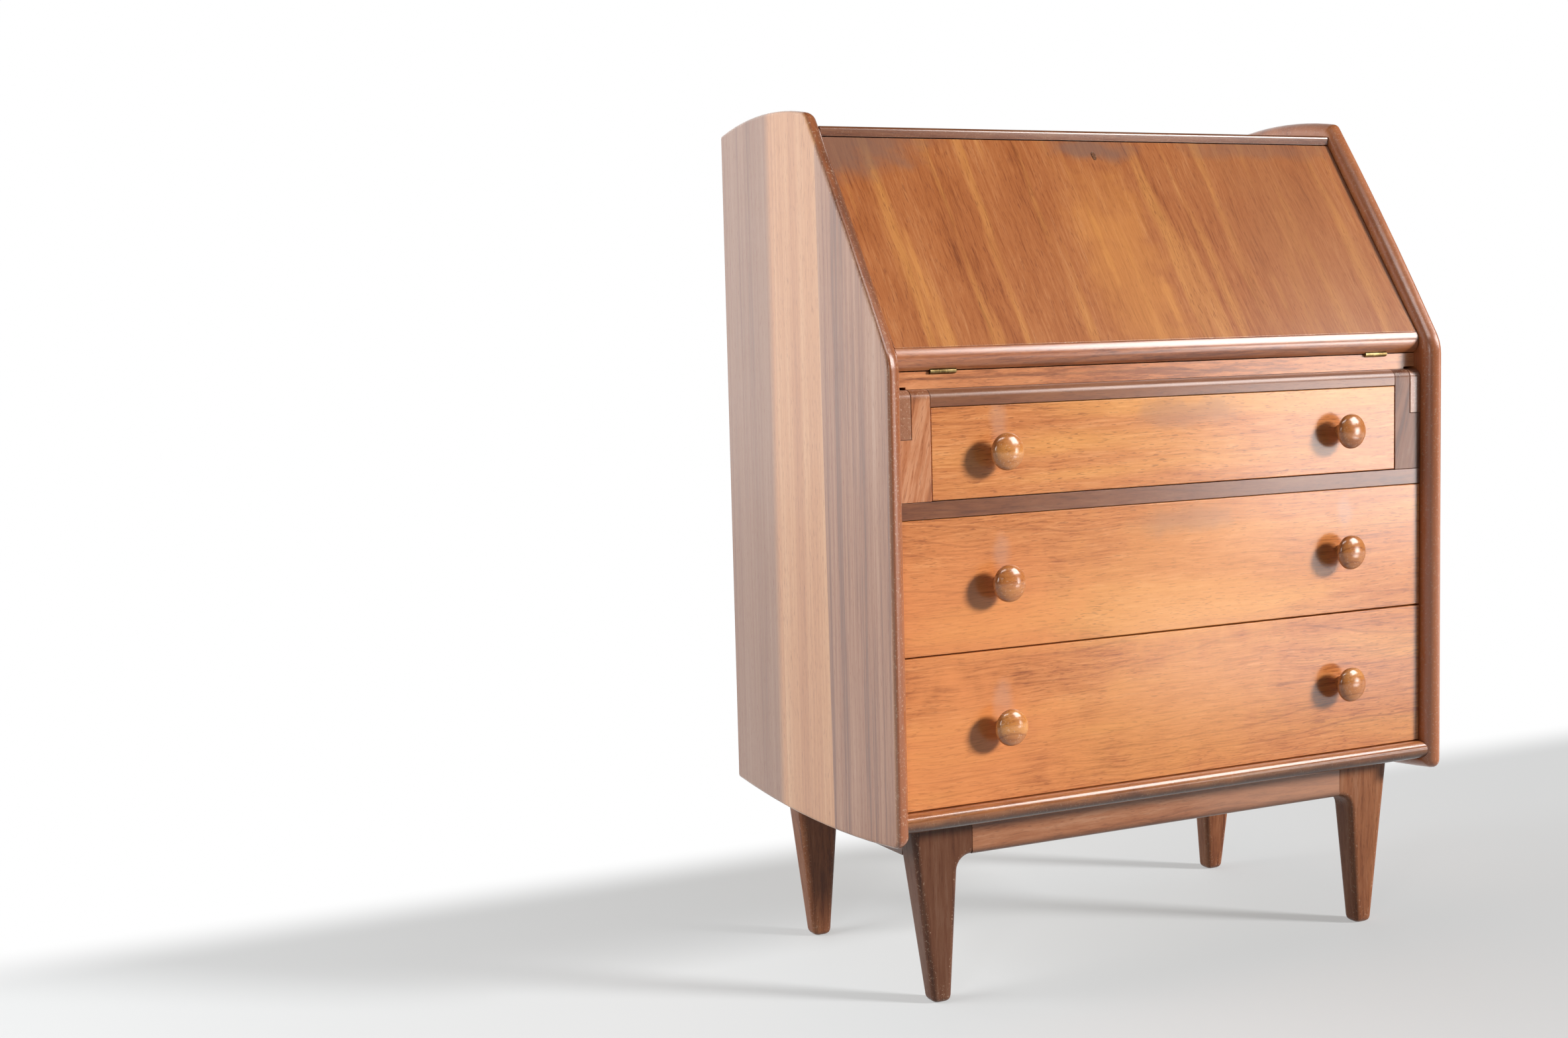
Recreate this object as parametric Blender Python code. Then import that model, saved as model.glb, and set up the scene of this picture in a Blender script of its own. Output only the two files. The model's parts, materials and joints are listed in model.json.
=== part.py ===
# Bureau cabinet: a sloping fall front over three drawers, between shaped sides, on a four-legged base.
# Metres, +Z up, the front towards -Y. The origin is on the floor, under the middle of the whole box.
# Places are given from the plane of the drawer faces (y = 0), the middle of the width (x = 0) and the
# floor (z = 0). The empty "bureau" moves that frame to the origin. The fall, the drawers and the lopers
# hang on empties of their own, and their pieces are given in the frames of those.

from math import asin, ceil, cos, pi, radians, sin, sqrt, tan

import bmesh
import bpy
from mathutils import Vector

# Clearances
FIT = 0.0003                # between pieces that are glued or screwed together
RUN = 0.0004                # beside a piece that slides
REVEAL = 0.0007             # dark line round a drawer front
FALL_END_GAP = 0.0010       # between an end of the fall and the side next to it
REST_GAP = 0.0008           # between the open fall and the lopers under it

# Carcass
WIDTH = 0.760               # over the two sides
SIDE_THICK = 0.0195
BACK_DEPTH = 0.3905         # from the drawer faces to the back edges of the sides
SIDE_PROUD = 0.0162         # how far the sides stand in front of the drawer faces
KNEE_PROUD = 0.0106         # how far the sides stand out from the closed fall, at the knee
SHOULDER_PROUD = 0.0132     # and at the shoulder
SLOPE_BOW = 0.0030          # and how much further out half-way up the slope
SIDE_DROP = 0.0095          # how far the back corners of the sides hang below the carcass
FRONT_DROP = 0.0120         # and their front corners
SIDE_SAG = 0.0110           # how much lower the middle of their bottom edge is
CROWN_RISE = 0.0232         # from the top board to the highest point of the sides
CROWN_FROM_BACK = 0.1245    # that point in front of the back edge
CROWN_RADIUS = 0.565
INNER_ROUND = 0.0152        # wide round of the sides' inner edges
OUTER_ROUND = 0.004
KNEE_ROUND = 0.045
SHOULDER_ROUND = 0.013
CORNER_ROUND = 0.012
BACK_THICK = 0.005
BACK_INSET = 0.0072
BOARD_THICK = 0.018         # bottom board and desk floor
TOP_THICK = 0.0115
TOP_NOSE_ROUND = 0.004
RAIL_DEPTH = 0.040

# Front, from the floor up
BASE_HEIGHT = 0.2065
BOTTOM_RAIL_HEIGHT = 0.0217
BOTTOM_OPENING = 0.1681
MIDDLE_OPENING = 0.1484
MIDDLE_RAIL_HEIGHT = 0.0183
TOP_OPENING = 0.1013
TOP_RAIL_HEIGHT = 0.0189
HINGE_RAIL_HEIGHT = 0.0185
BOTTOM_RAIL_PROUD = 0.0108
BOTTOM_RAIL_ROUND = 0.0095
TOP_RAIL_ROUND = 0.010
STILE_WIDTH = 0.0397
HINGE_RAIL_SETBACK = 0.0114
LOPER_NOTCH = 0.0025        # cut out of the hinge rail over each loper

# Fall and its hinges
SLOPE = radians(34.0)       # closed fall, from the vertical
FALL_LENGTH = 0.3030        # hinge axis to the top edge
FALL_INSET = 0.0003         # inner face in front of the plane of the axis
HINGE_BEFORE_RAIL = 0.0010  # axis in front of the hinge rail's face
LIPPING_START = 0.0010
LIPPING_TOP = 0.0188
NOSE_ROUND = 0.0163
TOP_GAP = 0.0008
STOP_DROP = 0.014           # lip under the top board that the fall closes against
STOP_GAP = 0.0006
STOP_DEPTH = 0.010
HINGE_INSET = 0.0615        # middle of a hinge from the inner face of the side next to it
HINGE_LENGTH = 0.032
BARREL_RADIUS = 0.0027
PIN_RADIUS = 0.0012
LEAF_WIDTH = 0.0165
LEAF_THICK = 0.0020

# Lopers and the guides that they and the top drawer run on
LOPER_THICK = 0.0156
LOPER_HEIGHT = 0.0527
LOPER_SHORT_OF_BACK = 0.078
GUIDE_WEB = 0.0117
GUIDE_FLANGE = 0.018
LEDGE_THICK = 0.015
LEDGE_WIDTH = 0.0205

# Drawers
FRONT_THICK = 0.020
FRONT_ROUND = 0.0012
BOX_GAP = 0.0012            # between a drawer's side and what it slides past
BOX_THICK = 0.012           # drawer sides and backs
BOX_LIFT = 0.006            # hung drawers: their sides above the bottom of the opening
BOX_DROP = 0.014            # drawer sides below the top of the opening
BACK_DROP = 0.008           # drawer backs below their sides
DRAWER_SHORT_OF_BACK = 0.012
PANEL_THICK = 0.0050
PANEL_GROOVE = 0.0050
PANEL_LIFT = 0.008
RUNNER_HEIGHT = 0.016
RUNNER_GROOVE = 0.0070
RUNNER_SLACK = 0.0010
RUNNER_START = 0.0025       # behind the drawer fronts

# Knobs
KNOB_INSET = 0.1235         # middle of a knob from the inner face of the side next to it
KNOB_RADIUS = 0.0205
KNOB_STEM = 0.0080
KNOB_RIM = 0.0185           # widest plane, in front of the drawer face
KNOB_COVE = 0.0090          # depth of the curve behind the rim
KNOB_DOME = 0.0095
SPIGOT_RADIUS = 0.0040
SPIGOT_LENGTH = 0.0120

# Base
LEG_FRONT = 0.029           # behind the drawer faces
LEG_BACK = 0.0375           # in front of the back edges of the sides
LEG_INSET = 0.0230          # top of the legs from the inner faces of the sides
LEG_BLOCK = 0.0765          # width of a leg at its top, with the ear
LEG_DEPTH = 0.0375
LEG_SPLAY = 0.0250          # how far the outer face comes in at the foot
FOOT = 0.0235
FOOT_BACK = 0.0015          # how far the front face of a front foot is set back
FOOT_FORWARD = 0.0045       # and the back face of a back foot is set forward
EAR = 0.0170                # width of the ear that rounds into the apron
EAR_ROUND = 0.020
LEG_ROUND = 0.0070
APRON_HEIGHT = 0.0425
APRON_THICK = 0.022
APRON_ROUND = 0.005
STRETCHER_INSET = 0.008
STRETCHER_THICK = 0.020

# Pigeonholes
SHELF_RISE = 0.145
SHELF_THICK = 0.009
PIGEON_DEPTH = 0.190
DIVIDER_INSET = 0.2415      # middle of a divider from the inner face of the side next to it

# Levels and places that follow from these sizes
INNER = WIDTH / 2 - SIDE_THICK
BOARD_END = INNER - FIT
BACK_FACE = BACK_DEPTH - BACK_INSET - BACK_THICK
BOARD_BACK = BACK_FACE - FIT
BOTTOM_RAIL_TOP = BASE_HEIGHT + BOTTOM_RAIL_HEIGHT
MIDDLE_FLOOR = BOTTOM_RAIL_TOP + BOTTOM_OPENING
MIDDLE_RAIL_LOW = MIDDLE_FLOOR + MIDDLE_OPENING
TOP_FLOOR = MIDDLE_RAIL_LOW + MIDDLE_RAIL_HEIGHT
TOP_RAIL_LOW = TOP_FLOOR + TOP_OPENING
RAIL_TOP = TOP_RAIL_LOW + TOP_RAIL_HEIGHT
HINGE_Z = RAIL_TOP + FIT + HINGE_RAIL_HEIGHT
HINGE_Y = HINGE_RAIL_SETBACK - HINGE_BEFORE_RAIL
FALL_OUT = HINGE_Z - RAIL_TOP - REST_GAP
TOP_BOARD_LOW = HINGE_Z + FALL_LENGTH * cos(SLOPE) + FALL_OUT * sin(SLOPE) + TOP_GAP
TOP_BOARD_TOP = TOP_BOARD_LOW + TOP_THICK
CROWN_Z = TOP_BOARD_TOP + CROWN_RISE
TOP_HALF = INNER - STILE_WIDTH
LOPER_OUTER = INNER - RUN
LOPER_INNER = LOPER_OUTER - LOPER_THICK
SLOT_INNER = LOPER_INNER - RUN
SLOT_LOW = RAIL_TOP - LOPER_HEIGHT - FIT
KNOB_FRONT = KNOB_RIM + KNOB_DOME
MIDDLE_Y = (BACK_DEPTH - max(KNOB_FRONT, SIDE_PROUD)) / 2
DRAWER_BACK = BOARD_BACK - DRAWER_SHORT_OF_BACK
LEG_TOP = BASE_HEIGHT - FIT
APRON_LOW = LEG_TOP - APRON_HEIGHT
LEG_OUTER = INNER - LEG_INSET
LEG_JOINT = LEG_OUTER - LEG_BLOCK
BASE_BACK = BACK_DEPTH - LEG_BACK

# How the shapes are drawn
ROUND_STEP = radians(13)    # turn between two points of a rounded corner
SHARP_ANGLE = radians(35)   # edges that bend more than this are shaded sharp
ROUND_PAIR_SHARE = 0.49     # most of a straight stretch that one of two rounds on it may take
ROUND_ALONE_SHARE = 0.98    # and a round that is alone on it
EDGE_ROUNDS_SHARE = 0.99    # most of a side's thickness that its two edge rounds may take
LEAST_CORNER_SHARE = 0.1    # what is left of a corner's round when the outline is drawn in past it
LEG_ROUND_SHARE = 0.38      # most of a foot's width that the rounds of a leg may take
SAME = FIT / 10             # places closer than this are one place
MERGE = 0.000001
ROD_SIDES = 20
PIN_SIDES = 12
KNOB_SIDES = 24

# Finishes: colour, roughness, metallic
VENEER = ((0.38, 0.17, 0.065), 0.32, 0.0)
SIDE_VENEER = ((0.36, 0.18, 0.085), 0.35, 0.0)
SOLID_TEAK = ((0.17, 0.070, 0.030), 0.36, 0.0)
PALE_WOOD = ((0.52, 0.36, 0.20), 0.60, 0.0)
PLYWOOD = ((0.46, 0.30, 0.17), 0.65, 0.0)
BRASS = ((0.55, 0.42, 0.20), 0.35, 1.0)


def material_for(name, finish):
    colour, roughness, metallic = finish
    material = bpy.data.materials.new(name + "_finish")
    material.use_nodes = True
    shader = material.node_tree.nodes["Principled BSDF"]
    shader.inputs["Base Color"].default_value = (*colour, 1.0)
    shader.inputs["Roughness"].default_value = roughness
    shader.inputs["Metallic"].default_value = metallic
    return material


def empty(name, parent, location, tilt=0.0):
    pivot = bpy.data.objects.new(name, None)
    bpy.context.scene.collection.objects.link(pivot)
    pivot.parent = parent
    pivot.location = location
    pivot.rotation_euler.x = tilt
    return pivot


def place(name, bm, finish, parent):
    """Makes an object of the shape, with its origin at the middle of the shape's box."""
    face_outwards(bm)
    low = Vector([min(vert.co[i] for vert in bm.verts) for i in range(3)])
    high = Vector([max(vert.co[i] for vert in bm.verts) for i in range(3)])
    middle = (low + high) / 2
    bmesh.ops.translate(bm, verts=bm.verts, vec=-middle)
    mesh = bpy.data.meshes.new(name)
    bm.to_mesh(mesh)
    bm.free()
    mesh.shade_smooth()
    mesh.set_sharp_from_angle(angle=SHARP_ANGLE)
    mesh.materials.append(material_for(name, finish))
    piece = bpy.data.objects.new(name, mesh)
    bpy.context.scene.collection.objects.link(piece)
    piece.parent = parent
    piece.location = middle
    return piece


def cutter(name, bm, parent):
    piece = place(name, bm, SOLID_TEAK, parent)
    piece.hide_render = True
    piece.display_type = "WIRE"
    return piece


def cut(piece, tool):
    modifier = piece.modifiers.new(tool.name, "BOOLEAN")
    modifier.operation = "DIFFERENCE"
    modifier.solver = "EXACT"
    modifier.object = tool


def rounded(corners):
    """Points of a closed outline whose corners (a, b, radius) are rounded, each within its two sides."""
    points = []
    for i, (a, b, radius) in enumerate(corners):
        corner = Vector((a, b))
        before = Vector(corners[i - 1][:2]) - corner
        after = Vector(corners[(i + 1) % len(corners)][:2]) - corner
        half = before.angle(after) / 2
        if not radius:
            points.append((a, b))
            continue
        reach = radius / tan(half)
        for side, other in ((before, corners[i - 1]), (after, corners[(i + 1) % len(corners)])):
            share = ROUND_PAIR_SHARE if other[2] else ROUND_ALONE_SHARE
            reach = min(reach, side.length * share)
        radius = reach * tan(half)
        centre = corner + (before.normalized() + after.normalized()).normalized() * radius / sin(half)
        start = corner + before.normalized() * reach - centre
        turn = start.angle_signed(corner + after.normalized() * reach - centre)
        steps = ceil(abs(turn) / ROUND_STEP)
        for k in range(steps + 1):
            angle = -turn * k / steps
            x = start.x * cos(angle) - start.y * sin(angle)
            y = start.x * sin(angle) + start.y * cos(angle)
            points.append((centre.x + x, centre.y + y))
    return points


def sharp(*corners):
    return [(a, b, 0.0) for a, b in corners]


def loft(axis, slices):
    """A solid through outlines at levels along an axis. They give the other two coordinates, in order."""
    bm = bmesh.new()
    along = "XYZ".index(axis)
    rings = []
    for level, outline in slices:
        rows = [[*point[:along], level, *point[along:]] for point in outline]
        rings.append([bm.verts.new(row) for row in rows])
    bm.faces.new(rings[0])
    bm.faces.new(rings[-1])
    for near, far in zip(rings, rings[1:]):
        for i in range(len(near)):
            bm.faces.new((near[i - 1], near[i], far[i], far[i - 1]))
    return bm


def prism(axis, low, high, outline):
    return loft(axis, [(low, outline), (high, outline)])


def box(x, y, z):
    corners = [(x[0], z[0]), (x[1], z[0]), (x[1], z[1]), (x[0], z[1])]
    return prism("Y", y[0], y[1], corners)


def joined(shapes):
    """Shapes that don't touch, in one mesh: a cutter for several places."""
    whole = bmesh.new()
    for shape in shapes:
        mesh = bpy.data.meshes.new("shape")
        shape.to_mesh(mesh)
        shape.free()
        whole.from_mesh(mesh)
        bpy.data.meshes.remove(mesh)
    return whole


def rod(axis, low, high, centre, radius, sides=ROD_SIDES):
    turns = [2 * pi * k / sides for k in range(sides)]
    circle = [(centre[0] + radius * cos(turn), centre[1] + radius * sin(turn)) for turn in turns]
    return prism(axis, low, high, circle)


def edges_where(bm, chosen):
    return [edge for edge in bm.edges if chosen(*(vert.co for vert in edge.verts))]


def face_outwards(bm):
    bm.normal_update()
    bmesh.ops.recalc_face_normals(bm, faces=bm.faces)


def round_edges(bm, edges, radius, segments):
    face_outwards(bm)
    bmesh.ops.bevel(
        bm, geom=edges, offset=radius, segments=segments, profile=0.5, affect="EDGES", clamp_overlap=False
    )


def same(a, b):
    return abs(a - b) < SAME


def slope_y(z, out):
    """The y at a height, on a line parallel to the closed fall and this far out from the hinge axis."""
    return HINGE_Y + ((z - HINGE_Z) * sin(SLOPE) - out) / cos(SLOPE)


def side_corners():
    """The shaped side seen along X: straight front, knee, slope, swept top, straight back, swept bottom."""
    front = -SIDE_PROUD
    low = BASE_HEIGHT - SIDE_DROP
    front_low = BASE_HEIGHT - FRONT_DROP
    knee_out = FALL_OUT + KNEE_PROUD + (front - HINGE_Y) * cos(SLOPE)
    knee = Vector((front, HINGE_Z + knee_out / sin(SLOPE)))
    crown_y = BACK_DEPTH - CROWN_FROM_BACK
    centre = Vector((crown_y, CROWN_Z - CROWN_RADIUS))
    # The slope meets the top sweep where its point is one crown radius from the sweep's centre.
    start = Vector((slope_y(centre.y, FALL_OUT + SHOULDER_PROUD) - crown_y, 0.0))
    up = Vector((sin(SLOPE), cos(SLOPE)))
    run = -start.dot(up) + sqrt(start.dot(up) ** 2 - start.length_squared + CROWN_RADIUS ** 2)
    shoulder = centre + start + up * run
    first = asin((shoulder.x - crown_y) / CROWN_RADIUS)
    last = asin(CROWN_FROM_BACK / CROWN_RADIUS)
    steps = 12
    shares = [k / steps for k in range(1, steps)]
    slope, top, bottom = [], [], []
    for share in shares:
        bulge = 4 * share * (1 - share)
        spot = knee.lerp(shoulder, share) + Vector((-cos(SLOPE), sin(SLOPE))) * SLOPE_BOW * bulge
        slope.append((*spot, 0.0))
        angle = first + (last - first) * share
        top.append((crown_y + CROWN_RADIUS * sin(angle), centre.y + CROWN_RADIUS * cos(angle), 0.0))
        level = low + (front_low - low) * share
        bottom.append((BACK_DEPTH + (front - BACK_DEPTH) * share, level - SIDE_SAG * bulge, 0.0))
    corners = [(front, front_low, CORNER_ROUND), (*knee, KNEE_ROUND), *slope]
    corners += [(*shoulder, SHOULDER_ROUND), *top]
    corners += sharp((BACK_DEPTH, centre.y + CROWN_RADIUS * cos(last)), (BACK_DEPTH, low)) + bottom
    return corners


def drawn_in(corners, inset):
    """The side's outline with every edge but the straight back moved inwards."""
    spots = [Vector(corner[:2]) for corner in corners]
    inwards, moves = [], []
    for i, spot in enumerate(spots):
        run = (spot - spots[i - 1]).normalized()
        inwards.append(Vector((run.y, -run.x)))
        on_back = same(spot.x, BACK_DEPTH) and same(spots[i - 1].x, BACK_DEPTH)
        moves.append(0.0 if on_back else inset)
    smaller = []
    for i, spot in enumerate(spots):
        k = (i + 1) % len(spots)
        bend = inwards[i].dot(inwards[k])
        if moves[i] == moves[k]:
            spot = spot + (inwards[i] + inwards[k]) * moves[i] / (1 + bend)
        else:
            square = 1 - bend * bend
            spot = spot + inwards[i] * (moves[i] - bend * moves[k]) / square
            spot = spot + inwards[k] * (moves[k] - bend * moves[i]) / square
        radius = corners[i][2]
        smaller.append((*spot, max(radius - inset, LEAST_CORNER_SHARE * radius)))
    return rounded(smaller)


def make_sides(bureau):
    corners = side_corners()
    room = min(1.0, EDGE_ROUNDS_SHARE * SIDE_THICK / (INNER_ROUND + OUTER_ROUND))
    inner = INNER_ROUND * room
    outer = OUTER_ROUND * room
    slices = []
    inner_steps = 7
    for k in range(inner_steps + 1):
        angle = pi / 2 * k / inner_steps
        slices.append((INNER + inner * (1 - cos(angle)), drawn_in(corners, inner * (1 - sin(angle)))))
    outer_steps = 3
    for k in range(outer_steps + 1):
        angle = pi / 2 * k / outer_steps
        slices.append((WIDTH / 2 - outer * (1 - sin(angle)), drawn_in(corners, outer * (1 - cos(angle)))))
    for name, side in (("left", -1), ("right", 1)):
        bm = loft("X", [(side * x, outline) for x, outline in slices])
        place("side_" + name, bm, SIDE_VENEER, bureau)


def make_boards(bureau):
    ends = (-BOARD_END, BOARD_END)
    back = box(ends, (BACK_FACE, BACK_FACE + BACK_THICK), (BASE_HEIGHT, TOP_BOARD_TOP))
    place("back_panel", back, PLYWOOD, bureau)
    bottom = box(ends, (RAIL_DEPTH + FIT, BOARD_BACK), (BASE_HEIGHT, BASE_HEIGHT + BOARD_THICK))
    place("bottom_board", bottom, PALE_WOOD, bureau)
    nose = slope_y(TOP_BOARD_LOW, FALL_OUT)
    stop_level = TOP_BOARD_LOW - STOP_DROP
    stop_top = slope_y(TOP_BOARD_LOW, -STOP_GAP)
    stop_low = slope_y(stop_level, -STOP_GAP)
    stop_back = stop_top + STOP_DEPTH
    corners = [(nose, TOP_BOARD_TOP, TOP_NOSE_ROUND)]
    corners += sharp((nose, TOP_BOARD_LOW), (stop_top, TOP_BOARD_LOW), (stop_low, stop_level))
    corners += sharp((stop_back, stop_level), (stop_back, TOP_BOARD_LOW))
    corners += sharp((BOARD_BACK, TOP_BOARD_LOW), (BOARD_BACK, TOP_BOARD_TOP))
    place("top_board", prism("X", *ends, rounded(corners)), SOLID_TEAK, bureau)
    floor_front = HINGE_RAIL_SETBACK + RAIL_DEPTH + FIT
    desk_floor = box(ends, (floor_front, BOARD_BACK), (HINGE_Z - BOARD_THICK, HINGE_Z))
    return place("desk_floor", desk_floor, VENEER, bureau)


def make_rails(bureau):
    bottom = [(-BOTTOM_RAIL_PROUD, BASE_HEIGHT, BOTTOM_RAIL_ROUND)]
    bottom += sharp((RAIL_DEPTH, BASE_HEIGHT), (RAIL_DEPTH, BOTTOM_RAIL_TOP))
    bottom += [(-BOTTOM_RAIL_PROUD, BOTTOM_RAIL_TOP, BOTTOM_RAIL_ROUND)]
    place("bottom_rail", prism("X", -BOARD_END, BOARD_END, rounded(bottom)), SOLID_TEAK, bureau)
    middle = box((-BOARD_END, BOARD_END), (0, RAIL_DEPTH), (MIDDLE_RAIL_LOW, TOP_FLOOR))
    place("middle_rail", middle, SOLID_TEAK, bureau)
    top_end = TOP_HALF - FIT
    top = [(0, RAIL_TOP, TOP_RAIL_ROUND)]
    top += sharp((0, TOP_RAIL_LOW), (RAIL_DEPTH, TOP_RAIL_LOW), (RAIL_DEPTH, RAIL_TOP))
    place("top_rail", prism("X", -top_end, top_end, rounded(top)), SOLID_TEAK, bureau)
    low = RAIL_TOP + FIT
    notch = low + LOPER_NOTCH
    hinge = []
    for side in (-1, 1):
        end = [(side * BOARD_END, HINGE_Z), (side * BOARD_END, notch), (side * SLOT_INNER, notch)]
        end += [(side * SLOT_INNER, low)]
        hinge += end[::side]
    # Left end from its bottom up, then the right end from its top down.
    hinge_rail = prism("Y", HINGE_RAIL_SETBACK, HINGE_RAIL_SETBACK + RAIL_DEPTH, hinge)
    return place("hinge_rail", hinge_rail, SOLID_TEAK, bureau)


def make_stiles(bureau):
    def front_top(one, two):
        return all(same(spot.y, 0) and same(spot.z, RAIL_TOP) for spot in (one, two))

    for name, side in (("left", -1), ("right", 1)):
        low = TOP_FLOOR + FIT
        slot = side * (SLOT_INNER - FIT)
        outer = side * BOARD_END
        shape = [(side * TOP_HALF, low), (outer, low), (outer, SLOT_LOW), (slot, SLOT_LOW)]
        shape += [(slot, RAIL_TOP), (side * TOP_HALF, RAIL_TOP)]
        bm = prism("Y", 0, RAIL_DEPTH, shape)
        round_edges(bm, edges_where(bm, front_top), TOP_RAIL_ROUND, segments=7)
        place("stile_" + name, bm, SOLID_TEAK, bureau)


def make_lopers(bureau):
    """The pull-out arms that carry the open fall, each in a channel of a grooved guide."""
    guide_front = RAIL_DEPTH + FIT
    ledge_low = TOP_FLOOR - LEDGE_THICK
    for name, side in (("left", -1), ("right", 1)):
        wall = TOP_HALF - FIT
        web = wall + GUIDE_WEB
        ledge = wall - LEDGE_WIDTH
        flange = SLOT_LOW - GUIDE_FLANGE
        shape = [(ledge, ledge_low), (BOARD_END, ledge_low), (BOARD_END, TOP_FLOOR), (web, TOP_FLOOR)]
        shape += [(web, flange), (BOARD_END, flange), (BOARD_END, SLOT_LOW), (SLOT_INNER, SLOT_LOW)]
        shape += [(SLOT_INNER, RAIL_TOP), (wall, RAIL_TOP), (wall, TOP_FLOOR), (ledge, TOP_FLOOR)]
        guide = prism("Y", guide_front, BOARD_BACK, [(side * x, z) for x, z in shape])
        place("loper_guide_" + name, guide, PALE_WOOD, bureau)
        pivot = empty("loper_" + name + "_slide", bureau, (side * LOPER_INNER, 0, RAIL_TOP - LOPER_HEIGHT))
        back = BOARD_BACK - LOPER_SHORT_OF_BACK
        arm = [(0, LOPER_HEIGHT, TOP_RAIL_ROUND), *sharp((0, 0), (back, 0), (back, LOPER_HEIGHT))]
        place("loper_" + name, prism("X", 0, side * LOPER_THICK, rounded(arm)), SOLID_TEAK, pivot)


def make_drawer(name, floor, height, half, hung, bureau):
    """One drawer in its opening, from the opening's floor up, with the runners that a hung drawer needs."""
    slide = empty(name + "_slide", bureau, (0, 0, floor))
    box_low = BOX_LIFT if hung else FIT
    box_top = height - BOX_DROP
    panel_low = box_low + PANEL_LIFT
    panel_top = panel_low + PANEL_THICK + 2 * FIT
    outer = half - BOX_GAP
    inner = outer - BOX_THICK
    runner_top = (box_low + box_top + RUNNER_HEIGHT) / 2
    groove_low = runner_top - RUNNER_HEIGHT - RUNNER_SLACK
    groove_top = runner_top + FIT
    box_front = FRONT_THICK + FIT

    front_half = half - REVEAL
    groove_front = FRONT_THICK - PANEL_GROOVE
    face = [(0, REVEAL), (FRONT_THICK, REVEAL), (FRONT_THICK, panel_low), (groove_front, panel_low)]
    face += [(groove_front, panel_top), (FRONT_THICK, panel_top), (FRONT_THICK, height - REVEAL)]
    face += [(0, height - REVEAL)]
    bm = prism("X", -front_half, front_half, face)
    face_edges = edges_where(bm, lambda one, two: same(one.y, 0) and same(two.y, 0))
    round_edges(bm, face_edges, FRONT_ROUND, segments=2)
    front = place(name + "_front", bm, VENEER, slide)

    for hand, side in (("left", -1), ("right", 1)):
        shape = [(inner, box_low), (outer, box_low)]
        if hung:
            floor_of_groove = outer - RUNNER_GROOVE
            shape += [(outer, groove_low), (floor_of_groove, groove_low)]
            shape += [(floor_of_groove, groove_top), (outer, groove_top)]
            runner_x = sorted((side * (floor_of_groove + FIT), side * BOARD_END))
            runner_z = (floor + runner_top - RUNNER_HEIGHT, floor + runner_top)
            runner = box(runner_x, (FRONT_THICK + RUNNER_START, BOARD_BACK), runner_z)
            place(name + "_runner_" + hand, runner, PALE_WOOD, bureau)
        shape += [(outer, box_top), (inner, box_top), (inner, panel_top)]
        shape += [(inner + PANEL_GROOVE, panel_top), (inner + PANEL_GROOVE, panel_low), (inner, panel_low)]
        bm = prism("Y", box_front, DRAWER_BACK, [(side * x, z) for x, z in shape])
        place(name + "_side_" + hand, bm, PALE_WOOD, slide)

    back_x = inner - FIT
    back = box((-back_x, back_x), (DRAWER_BACK - BOX_THICK, DRAWER_BACK), (panel_top, box_top - BACK_DROP))
    place(name + "_back", back, PALE_WOOD, slide)
    panel_x = inner + PANEL_GROOVE - FIT
    panel_z = (panel_low + FIT, panel_top - FIT)
    panel = box((-panel_x, panel_x), (groove_front + FIT, DRAWER_BACK), panel_z)
    place(name + "_bottom", panel, PLYWOOD, slide)

    knob_z = height / 2
    sockets = []
    for hand, side in (("left", -1), ("right", 1)):
        knob_x = side * (INNER - KNOB_INSET)
        place(name + "_knob_" + hand, knob_shape(knob_x, knob_z), SOLID_TEAK, slide)
        reach = SPIGOT_LENGTH + FIT
        sockets.append(rod("Y", -reach, reach, (knob_x, knob_z), SPIGOT_RADIUS + FIT))
    cut(front, cutter(name + "_knob_sockets", joined(sockets), slide))


def knob_shape(x, z):
    """A turned knob: a spigot in the drawer front, a stem, a coved underside and a low dome."""
    profile = [(0, SPIGOT_LENGTH), (SPIGOT_RADIUS, SPIGOT_LENGTH), (SPIGOT_RADIUS, -FIT), (KNOB_STEM, -FIT)]
    steps = 5
    for k in range(steps):
        angle = pi / 2 * k / steps
        cove_r = KNOB_RADIUS - (KNOB_RADIUS - KNOB_STEM) * cos(angle)
        profile.append((cove_r, -(KNOB_RIM - KNOB_COVE) - KNOB_COVE * sin(angle)))
    for k in range(steps):
        angle = pi / 2 * k / steps
        profile.append((KNOB_RADIUS * cos(angle), -KNOB_RIM - KNOB_DOME * sin(angle)))
    profile.append((0, -KNOB_FRONT))
    bm = bmesh.new()
    verts = [bm.verts.new((x + r, y, z)) for r, y in profile]
    edges = [bm.edges.new(pair) for pair in zip(verts, verts[1:])]
    bmesh.ops.spin(
        bm, geom=verts + edges, cent=(x, 0, z), axis=(0, 1, 0), angle=2 * pi, steps=KNOB_SIDES, use_merge=True
    )
    bmesh.ops.remove_doubles(bm, verts=bm.verts, dist=MERGE)
    return bm


def make_fall(bureau):
    """The fall is built upright in the frame of its hinge axis, which leans it back."""
    fall = empty("fall_hinge", bureau, (0, HINGE_Y, HINGE_Z), -SLOPE)
    end = INNER - FALL_END_GAP
    nose = min(NOSE_ROUND, FALL_OUT - FALL_INSET - FIT)
    lip = [(-FALL_OUT, LIPPING_START, nose)]
    lip += sharp((-FALL_INSET, LIPPING_START), (-FALL_INSET, LIPPING_TOP), (-FALL_OUT, LIPPING_TOP))
    lipping = place("fall_lipping", prism("X", -end, end, rounded(lip)), SOLID_TEAK, fall)
    panel = box((-end, end), (-FALL_OUT, -FALL_INSET), (LIPPING_TOP + FIT, FALL_LENGTH))
    return fall, lipping, place("fall_panel", panel, VENEER, fall)


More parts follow.
